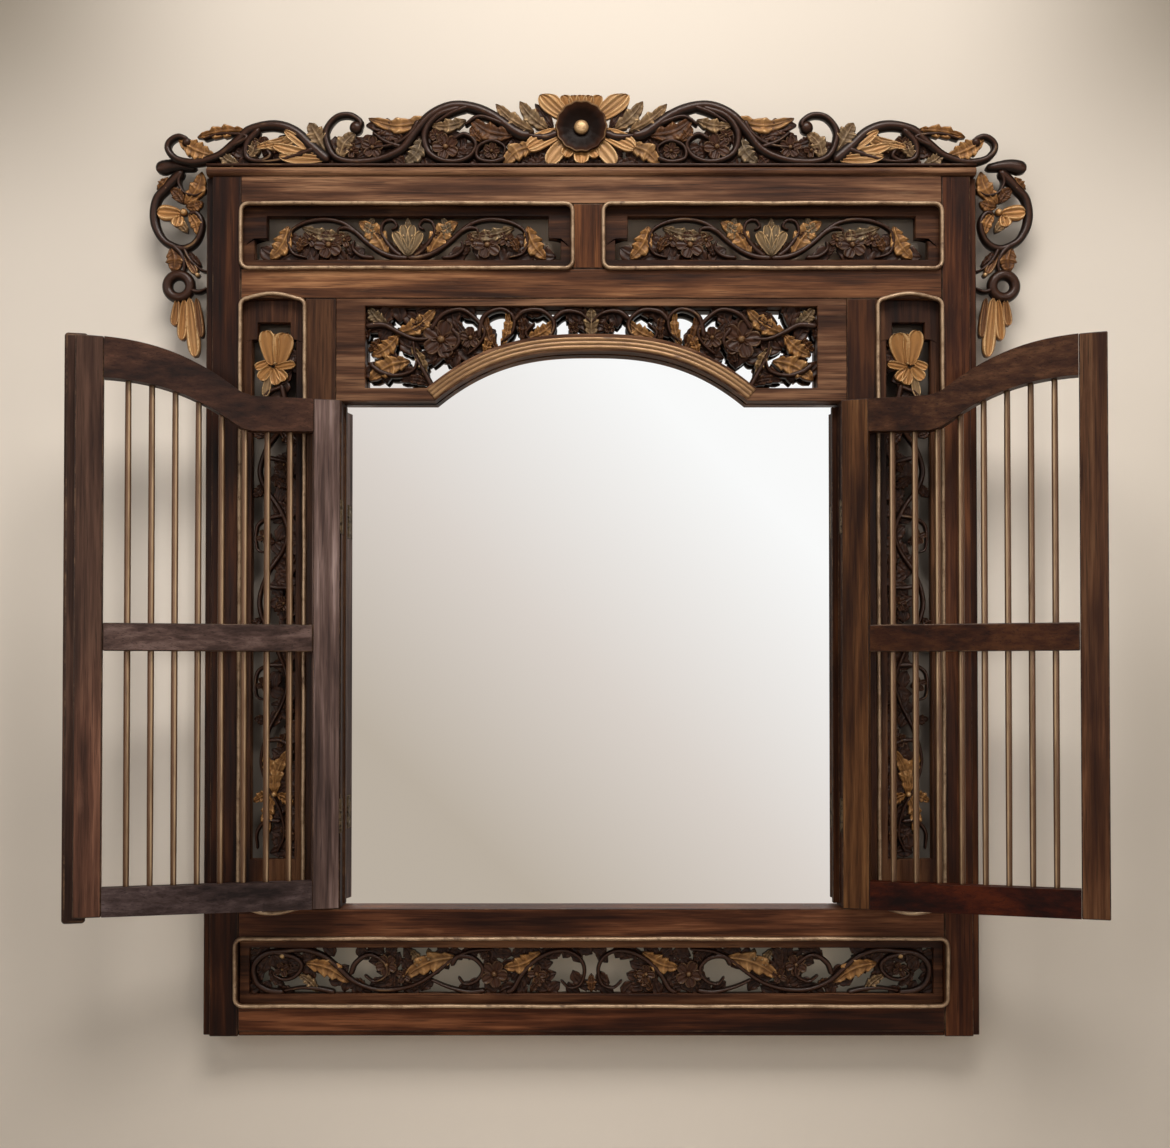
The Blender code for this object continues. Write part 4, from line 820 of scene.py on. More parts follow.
def apronBoard(node):
    left, right, low, high = bayOf(node)
    end, margin = panels["apronEnd"] - panels["clearance"], panels["friezeMargin"] - panels["clearance"]
    a, b, foot, top = left + end, right - end, low + margin, high - margin
    outer = [(left, low), (right, low), (right, high), (left, high)]
    inner = [(a, foot), (b, foot), (b, top), (a, top)]
    return sunkBoard(node, outer, inner, (60, 6, 60, 6), "boardLow", (a, b, foot, top))


header = {
    "archHalfSpan": 188 * mm,
    "archRise": 60.6 * mm,
    "archPower": 2.6,
    "fieldReach": 272 * mm,
    "fieldArchReach": 198 * mm,
    "footBar": 15.4 * mm,
    "topBar": 8.7 * mm,
    "bandLift": 65.5 * mm,
    "gildWidth": 15 * mm,
    "gildProud": 1.3 * mm,
    "gildOffset": 9 * mm,
    "gildReeds": 3,
}


def archOver(x, reach, base, lift):
    # flat shoulders, then a rise whose fall from the middle goes by the power of the distance
    return base + lift * (1 - np.minimum(np.abs(x) / reach, 1) ** header["archPower"])


def headerBoard(node):
    left, right, low, high = bayOf(node)
    span, fieldArch, reach = header["archHalfSpan"], header["fieldArchReach"], header["fieldReach"]
    share = np.linspace(0, 1, 121)[:-1]
    knots = (0, 0.15, 0.85, 1)
    outerX = np.interp(share, knots, (left, -span, span, right))
    innerX = np.interp(share, knots, (-reach, -fieldArch, fieldArch, reach))
    foot, top = low + header["footBar"], high - header["topBar"]
    under = np.stack([outerX, archOver(outerX, span, low, header["archRise"])], axis=1)
    above = np.stack([innerX, archOver(innerX, fieldArch, foot, header["bandLift"])], axis=1)
    rest = (12, 90, 12)
    outerRest = outlineBySections([(right, low), (right, high), (left, high), (left, low)], (*rest, 1))[:-1]
    innerRest = outlineBySections([(reach, foot), (reach, top), (-reach, top),
                                   (-reach, foot)], (*rest, 1))[:-1]
    piercedBoard(node + "_board", np.vstack([under, outerRest]), np.vstack([above, innerRest]),
                 frontY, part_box(node)[1].y, woods["headerBoard"], node)
    gildedArch(low)
    return 0.0, reach, foot, top - foot


def gildedArch(low):
    # a flat strip that follows the arch just above its edge; its front is a row of shallow reeds, each half a
    # wave
    x = np.linspace(-header["archHalfSpan"] + 1 * mm, header["archHalfSpan"] - 1 * mm, 240)
    curve = np.stack([x, archOver(x, header["archHalfSpan"], low, header["archRise"])], axis=1)
    curve = respaced(curve, 2 * mm)
    curve = curve + sidewaysOf(curve) * header["gildOffset"]
    reeds = header["gildReeds"]
    share = np.linspace(-1, 1, 8 * reeds + 1)
    proud = 0.35 + 0.65 * np.abs(np.sin(math.pi * reeds * (share + 1) / 2))
    proud[[0, -1]] = 0.0
    across = np.concatenate([share, share[::-1]]) * header["gildWidth"] / 2
    rise = np.concatenate([proud, np.zeros(len(share))])
    depth = frontY - header["gildProud"] * rise + np.where(np.arange(len(rise)) < len(share), 0, 0.4 * mm)
    shell = Shells()
    shell.add(inPlane(curve, sidewaysOf(curve), across, depth), rise, 0.6)
    shell.make("header_gilded_arch", woods["arch"], "frame", slot="gilt_wood")


bead = {
    "width": 6 * mm,
    "proud": 4.9 * mm,
    "corner": 9 * mm,
    "bow": 6 * mm,
    "wander": 0.35 * mm,      # how far the hand-cut line strays
    "around": 14,
}


def roundedLoop(left, right, low, high, corner, bow):
    # quarter circles at the corners; the ends bow outwards as a half wave
    turns = np.linspace(0, math.pi / 2, 9)
    arcs = []
    for x, z, quarter in ((right, high, 0), (left, high, 1), (left, low, 2), (right, low, 3)):
        inward = np.array([1 if quarter in (1, 2) else -1, 1 if quarter > 1 else -1])
        centre = (x, z) + corner * inward
        way = turns + quarter * math.pi / 2
        arcs.append(centre + corner * np.stack([np.cos(way), np.sin(way)], axis=1))
        if bow and quarter in (0, 2):
            share = np.linspace(0, 1, 14)[1:-1]
            start, end = arcs[-1][-1], (left + right - arcs[-1][-1][0], z)
            across = start[0] + (end[0] - start[0]) * share
            out = bow if quarter == 0 else -bow
            arcs.append(np.stack([across, z + out * np.sin(math.pi * share)], axis=1))
    loop = np.vstack(arcs)
    return respaced(np.vstack([loop, loop[:1]]), 2.5 * mm)[:-1]


def beadRing(node, bow=0.0):
    low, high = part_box(node)
    half = bead["width"] / 2
    left, right = low.x + half, high.x - half
    foot, top = low.z + half + bow, high.z - half - bow
    curve = roundedLoop(left, right, foot, top, bead["corner"], bow)
    sideways = sidewaysOf(curve, closed=True)
    count = np.arange(len(curve))
    curve = curve + sideways * (bead["wander"] * np.sin(count * 0.13) * np.sin(count * 0.049 + 1))[:, None]
    turns = ringTurns(bead["around"])
    across = np.cos(turns) * (half - bead["wander"])
    rise = np.clip(np.sin(turns), 0, 1)
    depth = high.y - np.where(rise > 0, rise ** 0.9 * bead["proud"], -0.2 * mm)
    shell = Shells()
    shell.add(inPlane(curve, sideways, across, depth), rise, 0.6, closed=True)
    shell.make(node + "_gilded", woods["bead"], "frame", [node])


fields = {
    "frieze_panel_left": friezeBoard("frieze_panel_left"),
    "frieze_panel_right": friezeBoard("frieze_panel_right"),
    "side_panel_left": sideBoard("side_panel_left"),
    "side_panel_right": sideBoard("side_panel_right"),
    "apron_panel": apronBoard("apron_panel"),
    "header_panel": headerBoard("header_panel"),
}
for side in sides:
    beadRing("frieze_bead_" + side)
    beadRing("side_bead_" + side, bead["bow"])
beadRing("apron_bead")
print("panels and beads made")


# Carving

def placed(points, field, flip=1):
    middle, reach, foot, rise = field
    points = np.asarray(points, float)
    return np.stack([middle + flip * reach * points[:, 0], foot + rise * points[:, 1]], axis=1)


def spotIn(across, up, field, flip=1):
    return placed([(across, up)], field, flip)[0]


def addStem(shells, route, width, front, back, taper=0.5, tone=0.1, wave=0.0, around=18, step=1.8 * mm):
    # a rounded bar along a route: its half width falls by taper towards the end, and its ends close as quarter
    # circles; two shallow grooves run along its front
    curve = smoothRoute(route, step)
    share = np.linspace(0, 1, len(curve))
    length = len(curve) * step
    fromEnd = np.minimum(share, 1 - share) * length
    half = width / 2 * (1 - taper * share ** 1.5) * (1 + wave * np.sin(share * length / (9 * mm)))
    rounded = np.sqrt(np.clip(1 - (1 - np.clip(fromEnd / half, 0, 1)) ** 2, 0.05, 1))
    half = half * rounded
    turns = ringTurns(around)
    sine, v = np.sin(turns), np.cos(turns)
    across = half[:, None] * np.sign(v) * np.abs(v) ** 0.85
    middle, deep = (front + back) / 2, (back - front) / 2
    groove = 0.10 * np.exp(-((np.abs(v) - 0.52) / 0.12) ** 2) * (sine > 0)
    bar = np.sign(sine) * np.abs(sine) ** 0.75 - groove
    depth = middle - deep * (0.70 + 0.30 * rounded * (1 - 0.4 * share))[:, None] * bar
    rise = np.clip(sine, 0, 1) * (1 - 5 * groove)
    shells.add(inPlane(curve, sidewaysOf(curve), across, depth), rise, tone)


leafAcross = np.array([-1, -0.94, -0.82, -0.64, -0.45, -0.27, -0.11, 0, 0.11, 0.27, 0.45, 0.64, 0.82, 0.94,
                       1])
leafBack = np.array([0.9, 0.45, 0, -0.45, -0.9])
underRoof = 4 * mm


def addLeaf(shells, base, tip, width, front, back, tone, lobes=4, bend=0.12, cut=0.30, sweep=0.55, lean=0.2,
            rings=48):
    # the half width is a skewed half wave with saw teeth: each lobe widens slowly and is cut back fast. Points
    # move towards the tip by the square of their distance from the midrib, so the lobes point forward. The front
    # is a gutter on each side of a sharp midrib, crossed by one vein up each lobe, with a lifted edge.
    along = np.linspace(0.012, 0.988, rings)
    base, tip = np.asarray(base, float), np.asarray(tip, float)
    way = tip - base
    square = np.array([-way[1], way[0]])
    line = base + way * along[:, None] + square * bend * np.sin(math.pi * along)[:, None]
    body = np.sin(math.pi * along ** 0.85) ** 0.80
    phase = (lobes * along + 0.15) % 1.0
    swell = np.where(phase < 0.78, (phase / 0.78) ** 0.7, ((1 - phase) / 0.22) ** 1.2)
    fromEnds = np.clip(along * 5, 0, 1) * np.clip((1 - along) * 5, 0, 1)
    half = width / 2 * body * (1 - cut * (1 - swell) * fromEnds)
    v = np.concatenate([leafAcross, leafBack])
    facing = np.arange(len(v)) < len(leafAcross)
    rings3 = inPlane(line, sidewaysOf(line), half[:, None] * v, 0.0)
    forward = way / np.linalg.norm(way) * (sweep * half[:, None] * v ** 2 * (1 - along[:, None]))[..., None]
    rings3[..., 0] += forward[..., 0]
    rings3[..., 2] += forward[..., 1]
    gutter = 0.52 * np.abs(v) ** 1.4 - 0.35 * np.clip(np.abs(v) - 0.82, 0, 1) / 0.18
    midrib = np.exp(-(v / 0.10) ** 2) * 0.62 * (1 - 0.6 * along[:, None])
    vein = np.exp(-((phase[:, None] - 0.66) / 0.11) ** 2) * np.clip(np.abs(v) * 2.2, 0, 1) * 0.30
    valley = np.exp(-((phase[:, None] - 0.06) / 0.12) ** 2) * np.abs(v) * 0.30
    height = np.clip(0.22 + gutter + midrib + vein - valley, 0, 1) * body[:, None] ** 0.3
    deep = back - front
    dip = lean * np.cos(math.pi * along)[:, None] * np.clip(1 - 2 * along[:, None], -1, 1)
    top = front + deep * (0.46 * (1 - height) + 0.25 * dip)
    rings3[..., 1] = np.where(facing, top, back)
    shells.add(rings3, np.where(facing, height, 0), tone)


def addPetal(shells, base, tip, width, front, back, tone, flutes=3, fan=1.5, lean=0.15, rings=26,
             point=7.0, curl=0.0, roof=None):
    # narrow at its base and broad near its tip, whose outline falls by the given power; the middle is hollow,
    # with fine flutes from end to end; curl turns the line sideways by the square of the way along it
    along = np.linspace(0.01, 0.99, rings)
    base, tip = np.asarray(base, float), np.asarray(tip, float)
    way = tip - base
    line = base + way * along[:, None] + np.array([-way[1], way[0]]) * curl * (along ** 2)[:, None]
    body = (0.30 + 0.70 * np.sin(math.pi / 2 * along ** (1 / fan))) * np.sqrt(1 - along ** point)
    body = body * np.clip(along * 12, 0, 1) ** 0.5
    v = np.concatenate([np.linspace(-1, 1, 17), leafBack])
    facing = np.arange(len(v)) < 17
    across = width / 2 * body[:, None] * v
    flute = 0.17 * np.cos(2 * math.pi * flutes * v / 2)
    edge = 0.46 * v ** 2 * np.clip(1.12 - np.abs(v), 0, 1) * 2.6
    height = np.clip(0.40 + flute + edge + 0.22 * along[:, None] ** 2, 0, 1)
    deep = back - front
    top = front + deep * (0.42 * (1 - height) + lean * (1 - along[:, None]))
    rings3 = inPlane(line, sidewaysOf(line), across, 0.0)
    rings3[..., 1] = np.where(facing, top, back)
    if roof is not None:
        # what rises into the last stretch under the roof is pressed towards it by a falling exponential
        over = np.clip(rings3[..., 2] - roof + underRoof, 0, None)
        rings3[..., 2] -= over - underRoof * (1 - np.exp(-over / underRoof))
    shells.add(rings3, np.where(facing, height, 0), tone)


def addBoss(shells, centre, radius, front, back, tone, ripples=0, rings=12, around=24):
    # a dome turned about Y: the edge swings in and out once for each ripple
    turn = np.linspace(0, 2 * math.pi, around, endpoint=False)
    swing = 1 + (0.12 * np.cos(ripples * turn) if ripples else 0)
    share = np.linspace(0, 1, rings)
    reach = np.concatenate([[0.97 * radius], radius * np.cos(share * math.pi / 2 * 0.97)])
    depth = np.concatenate([[back], front + (back - front) * 0.5 * (1 - np.sin(share * math.pi / 2))])
    x = centre[0] + reach[:, None] * swing * np.cos(turn)
    z = centre[1] + reach[:, None] * swing * np.sin(turn)
    y = np.broadcast_to(depth[:, None], x.shape)
    rise = np.broadcast_to(np.append(0, np.sin(share * math.pi / 2))[:, None], x.shape)
    shells.add(np.stack([x, y, z], axis=-1), rise, tone)


def addBlossom(shells, centre, reach, front, back, tone, petals=5, start=0.4, flat=1.0):
    # rounded petals about a small knob; flat squeezes the flower's height
    for count in range(petals):
        turn = start + 2 * math.pi * count / petals
        way = np.array([math.cos(turn), math.sin(turn) * flat])
        addPetal(shells, centre + way * reach * 0.10, centre + way * reach, reach * 0.86, front + 0.6 * mm,
                 back, tone + 0.05 * (count % 2), flutes=2, fan=1.9, lean=0.05, rings=18)
    addBoss(shells, centre, reach * 0.24, front - 0.6 * mm, back, tone + 0.12)


def fillGround(shells, field, front, back, cell, size, flips=(1, -1), floor=None, holes=(), top=1.0,
               roof=None):
    # dark leaves deeper in the board, partly the carving's dark ground and partly a dark stand-in for the shade
    # deep in the carving, one to a cell of a slightly shaken grid, each turned by the golden angle; a cell stays
    # open at a hole, or above the roof, which gives the greatest height for a place
    middle, reach, foot, rise = field
    columns, rows = max(int(reach / cell), 2), max(int(rise * top / cell), 2)
    count = np.arange(columns * rows)
    a = (count % columns + 0.5 + 0.25 * np.sin(count * 2.3)) / columns
    b = (count // columns + 0.5 + 0.25 * np.sin(count * 3.7)) / rows * top
    for flip in flips:
        for x, z, turn in zip(a, b, count * 2.399):
            if roof and z > np.interp(x, *roof):
                continue
            spot = spotIn(x, z, field, flip)
            if floor is not None and spot[1] < floor(spot[0]) + size * 0.3:
                continue
            if any(math.hypot(*(spot - spotIn(u, w, field, flip))) < r * mm + size * 0.35 for u, w,
                   r in holes):
                continue
            way = np.array([math.cos(turn), math.sin(turn)]) * size / 2
            addLeaf(shells, spot - way, spot + way, size * 0.8, front, back, 0.02 + 0.04 * (turn % 2),
                    lobes=2,
                    rings=12)


frieze = {
    "stem": 7.5 * mm,
    "ground": 17 * mm,
    "groundTop": 0.6,
    "holes": ((0.385, 0.50, 9), (0.25, 0.20, 9), (0.92, 0.85, 9), (0.12, 0.70, 8), (0.30, 0.75, 8)),
    "stems": (
        ((0.0, 0.05), (0.10, 0.08), (0.20, 0.20), (0.298, 0.43), (0.376, 0.66), (0.468, 0.86), (0.589, 0.94),
         (0.723, 0.88), (0.823, 0.70), (0.851, 0.43), (0.816, 0.16), (0.72, 0.06)),
        ((0.37, 0.64), (0.43, 0.74), (0.49, 0.72), (0.50, 0.60)),
        ((0.04, 0.08), (0.10, 0.22), (0.150, 0.42), (0.19, 0.66), (0.17, 0.88), (0.11, 0.92), (0.08, 0.78),
         (0.12, 0.70)),
        ((0.24, 0.06), (0.33, 0.10), (0.39, 0.26), (0.38, 0.46)),
    ),
    # from, to, width in mm, tone (0 brown, 0.35 bronze, 0.66 gold, 1 grey-green)
    "leaves": (
        ((0.85, 0.80), (0.985, 0.03), 25, 0.70),
        ((0.146, 0.07), (0.355, 0.90), 27, 0.70),
        ((0.277, 0.40), (0.240, 0.99), 15, 1.0),
        ((0.76, 0.76), (0.42, 0.62), 17, 0.97),
        ((0.78, 0.18), (0.72, 0.55), 13, 0.30),
        ((0.40, 0.10), (0.44, 0.42), 13, 0.10),
        ((0.03, 0.08), (0.135, 0.44), 13, 0.14),
    ),
    "flowers": ((0.565, 0.36, 17.5, 0.06, 5, 0.95), (0.70, 0.48, 10, 0.10, 4, 1.0),
                (0.455, 0.46, 9, 0.12, 4, 1.0), (0.20, 0.60, 5.5, 0.10, 4, 1.0)),
    "petals": (
        ((0.0, 0.12), (0.098, 0.64), 13, 0.96),
        ((0.0, 0.14), (0.036, 0.80), 12, 1.0),
    ),
    "bud": ((0.0, 0.06), (0.0, 1.0), 14, 1.0),
}
headerCarving = {
    "stem": 8.5 * mm,
    "ground": 16 * mm,
    "holes": ((0.867, 0.78, 2), (0.838, 0.445, 4), (0.962, 0.49, 4), (0.977, 0.107, 2), (0.835, 0.066, 6),
              (0.698, 0.174, 5), (0.535, 0.675, 7), (0.514, 0.82, 4), (0.43, 0.76, 5), (0.252, 0.76, 5),
              (0.197, 0.83, 2), (0.126, 0.733, 3), (0.066, 0.69, 2), (0.39, 0.97, 2), (0.15, 0.97, 2)),
    "stems": (
        ((1.0, 0.76), (0.92, 0.775), (0.85, 0.68), (0.783, 0.606), (0.717, 0.606)),
        ((0.71, 0.72), (0.66, 0.90), (0.58, 0.965), (0.52, 0.87), (0.473, 0.70), (0.496, 0.545),
         (0.549, 0.412)),
        ((0.50, 0.62), (0.475, 0.88), (0.40, 0.97), (0.345, 0.87), (0.35, 0.69), (0.40, 0.56)),
        ((0.345, 0.82), (0.30, 0.94), (0.22, 0.95), (0.165, 0.80), (0.19, 0.62), (0.25, 0.56), (0.29, 0.68),
         (0.25, 0.80)),
        ((0.17, 0.84), (0.12, 0.94), (0.05, 0.92), (0.0, 0.80)),
        ((0.70, 0.0), (0.735, 0.18), (0.775, 0.38), (0.79, 0.58)),
        ((0.98, 0.30), (0.93, 0.20), (0.86, 0.16), (0.79, 0.22), (0.77, 0.36)),
        ((0.62, 0.74), (0.585, 0.60), (0.61, 0.48), (0.66, 0.44)),
    ),
    "leaves": (
        ((0.90, 0.76), (0.985, 1.0), 19, 0.97),
        ((0.87, 0.66), (0.690, 0.98), 23, 0.72),
        ((0.855, 0.66), (0.975, 0.40), 22, 0.70),
        ((0.80, 0.34), (0.985, 0.10), 27, 0.72),
        ((0.800, 0.52), (0.735, 0.12), 14, 0.88),
        ((0.29, 0.60), (0.16, 0.84), 20, 0.70),
        ((0.41, 0.42), (0.465, 0.92), 15, 0.34),
        ((0.40, 0.50), (0.375, 0.96), 13, 0.70),
        ((0.47, 0.38), (0.43, 0.66), 13, 0.66),
        ((0.55, 0.40), (0.60, 0.82), 17, 0.10),
        ((0.94, 0.62), (0.99, 0.46), 12, 0.3),
        ((0.70, 0.04), (0.85, 0.10), 12, 0.10),
        ((0.99, 0.60), (0.985, 0.86), 11, 0.10),
        ((0.31, 0.56), (0.33, 0.96), 11, 0.2),
        ((0.64, 0.30), (0.60, 0.52), 14, 0.08),
    ),
    "bud": ((0.0, 0.60), (0.0, 1.0), 20, 0.95),
    "flowers": ((0.665, 0.60, 23, 0.07, 5, 1.0), (0.535, 0.62, 13, 0.08, 5, 1.0),
                (0.77, 0.80, 10, 0.07, 4, 1.0), (0.08, 0.74, 7, 0.12, 4, 1.0)),
}
apron = {
    "stem": 8 * mm,
    "ground": 12 * mm,
    "holes": ((0.725, 0.78, 10), (0.43, 0.24, 12), (0.0, 0.60, 9), (0.795, 0.15, 11), (0.080, 0.46, 11),
              (0.655, 0.45, 7), (0.36, 0.45, 8), (0.935, 0.32, 7), (0.50, 0.90, 5), (0.86, 0.10, 5)),
    "stems": (
        ((0.90, 0.02), (0.95, 0.07), (0.982, 0.26), (0.988, 0.61), (0.953, 0.86), (0.898, 0.92),
         (0.839, 0.945), (0.784, 0.81), (0.74, 0.55), (0.696, 0.264), (0.635, 0.09), (0.567, 0.09),
         (0.506, 0.22), (0.45, 0.483), (0.40, 0.77), (0.351, 0.92), (0.289, 0.96)),
        ((0.25, 0.02), (0.228, 0.10), (0.202, 0.418), (0.161, 0.725), (0.114, 0.90), (0.07, 0.92),
         (0.035, 0.77), (0.02, 0.505), (0.032, 0.20), (0.064, 0.12), (0.09, 0.286)),
        ((0.93, 0.90), (0.87, 0.78), (0.848, 0.60), (0.866, 0.38), (0.90, 0.30), (0.93, 0.42), (0.91, 0.56)),
        ((0.705, 0.40), (0.69, 0.66), (0.65, 0.84), (0.605, 0.66), (0.60, 0.40), (0.635, 0.26),
         (0.665, 0.40)),
        ((0.41, 0.60), (0.39, 0.80), (0.345, 0.76), (0.318, 0.52), (0.335, 0.28), (0.37, 0.20), (0.39, 0.36)),
        ((0.31, 0.06), (0.36, 0.03), (0.42, 0.14), (0.47, 0.30)),
        ((0.75, 0.02), (0.80, 0.10), (0.85, 0.12), (0.90, 0.06)),
    ),
    "leaves": (
        ((0.838, 0.66), (0.708, 0.22), 24, 0.70),
        ((0.392, 0.78), (0.550, 0.32), 26, 0.72),
        ((0.148, 0.90), (0.258, 0.56), 23, 0.70),
        ((0.80, 0.02), (0.86, 0.40), 13, 0.9),
        ((0.18, 0.02), (0.12, 0.44), 14, 0.2),
        ((0.945, 0.52), (0.90, 0.16), 12, 0.10),
        ((0.53, 0.96), (0.505, 0.56), 12, 0.95),
        ((0.48, 0.97), (0.46, 0.70), 11, 0.95),
        ((0.33, 0.96), (0.305, 0.66), 12, 0.12),
        ((0.66, 0.06), (0.70, 0.30), 11, 0.15),
    ),
    "bud": ((0.0, 0.02), (0.0, 0.42), 13, 0.30),
    "flowers": ((0.600, 0.62, 13, 0.07, 5, 1.0), (0.285, 0.42, 16, 0.06, 5, 1.0),
                (0.16, 0.42, 11, 0.07, 4, 1.0), (0.905, 0.52, 9, 0.06, 4, 1.0),
                (0.55, 0.38, 9, 0.07, 4, 1.0)),
    "bosses": ((0.905, 0.82, 3.7, 0.84),),
}
sideCarving = {
    "stem": 7 * mm,
    "ground": 13 * mm,
    "holes": ((-0.75, 0.99, 6), (0.75, 0.99, 6), (0.0, 0.99, 6), (-0.85, 0.90, 3), (0.85, 0.90, 3),
              (0.72, 0.86, 4), (-0.72, 0.855, 4), (-0.10, 0.62, 4), (0.10, 0.44, 4), (0.05, 0.235, 4),
              (0.0, 0.765, 4)),
    "stems": (
        ((0.30, 0.885), (0.42, 0.865), (0.55, 0.826), (0.15, 0.795), (-0.35, 0.765), (-0.65, 0.724),
         (-0.40, 0.69), (0.20, 0.655), (0.62, 0.612), (0.40, 0.575), (-0.30, 0.53), (-0.65, 0.482),
         (-0.45, 0.44), (0.20, 0.385), (0.62, 0.334), (0.40, 0.29), (-0.20, 0.24), (-0.55, 0.186),
         (-0.30, 0.14), (0.30, 0.09), (0.50, 0.046), (0.20, 0.012)),
        ((0.30, 0.88), (-0.30, 0.87), (-0.70, 0.845), (-0.55, 0.81), (-0.20, 0.82)),
        ((-0.50, 0.75), (0.10, 0.745), (0.68, 0.735), (0.75, 0.70), (0.40, 0.69)),
        ((0.45, 0.64), (-0.20, 0.635), (-0.75, 0.62), (-0.78, 0.58), (-0.45, 0.57)),
        ((-0.50, 0.51), (0.10, 0.505), (0.72, 0.50), (0.78, 0.46), (0.45, 0.445)),
        ((0.45, 0.36), (-0.20, 0.36), (-0.75, 0.345), (-0.78, 0.305), (-0.40, 0.295)),
        ((-0.35, 0.22), (0.30, 0.22), (0.75, 0.205), (0.78, 0.165)),
        ((0.35, 0.07), (-0.30, 0.07), (-0.72, 0.05), (-0.70, 0.018)),
    ),
    "leaves": (
        ((0.30, 0.80), (0.95, 0.775), 15, 0.10),
        ((-0.40, 0.79), (-0.97, 0.80), 14, 0.10),
        ((-0.10, 0.715), (0.60, 0.695), 15, 0.12),
        ((-0.55, 0.70), (-0.97, 0.675), 14, 0.08),
        ((0.50, 0.58), (0.95, 0.55), 14, 0.10),
        ((0.05, 0.59), (-0.50, 0.60), 14, 0.10),
        ((-0.60, 0.45), (-0.96, 0.42), 14, 0.08),
        ((0.0, 0.46), (0.60, 0.475), 14, 0.10),
        ((0.50, 0.30), (0.96, 0.27), 14, 0.10),
        ((-0.05, 0.32), (-0.60, 0.33), 14, 0.08),
        ((0.05, 0.12), (-0.60, 0.20), 19, 0.70),
        ((0.10, 0.12), (0.75, 0.205), 17, 0.70),
        ((0.0, 0.12), (-0.90, 0.105), 15, 0.68),
        ((0.15, 0.12), (0.90, 0.10), 15, 0.66),
        ((0.05, 0.12), (-0.20, 0.045), 17, 0.68),
        ((0.30, 0.06), (0.90, 0.03), 14, 0.20),
        ((-0.20, 0.25), (-0.90, 0.26), 14, 0.10),
    ),
    "petals": (
        ((-0.12, 0.921), (-0.40, 0.986), 22, 0.62),
        ((0.06, 0.923), (0.09, 0.980), 9, 0.64),
        ((0.18, 0.923), (0.52, 0.981), 27, 0.60),
        ((0.00, 0.917), (0.95, 0.923), 11, 0.60),
        ((-0.25, 0.928), (-0.86, 0.915), 11, 0.62),
        ((-0.16, 0.918), (-0.68, 0.894), 15, 0.66),
        ((-0.05, 0.916), (0.10, 0.884), 15, 0.60),
        ((0.05, 0.915), (0.52, 0.893), 14, 0.60),
        ((-0.22, 0.908), (-0.42, 0.862), 11, 0.93),
    ),
    "flowers": ((-0.30, 0.835, 9, 0.06, 4, 1.0), (0.45, 0.735, 9, 0.06, 4, 1.0),
                (-0.45, 0.60, 9, 0.07, 4, 1.0), (0.45, 0.475, 9, 0.06, 4, 1.0),
                (-0.45, 0.325, 9, 0.06, 4, 1.0), (0.35, 0.22, 8, 0.08, 4, 1.0)),
    "bosses": ((0.02, 0.924, 1.8, 0.90), (0.05, 0.12, 3.6, 0.7)),
}
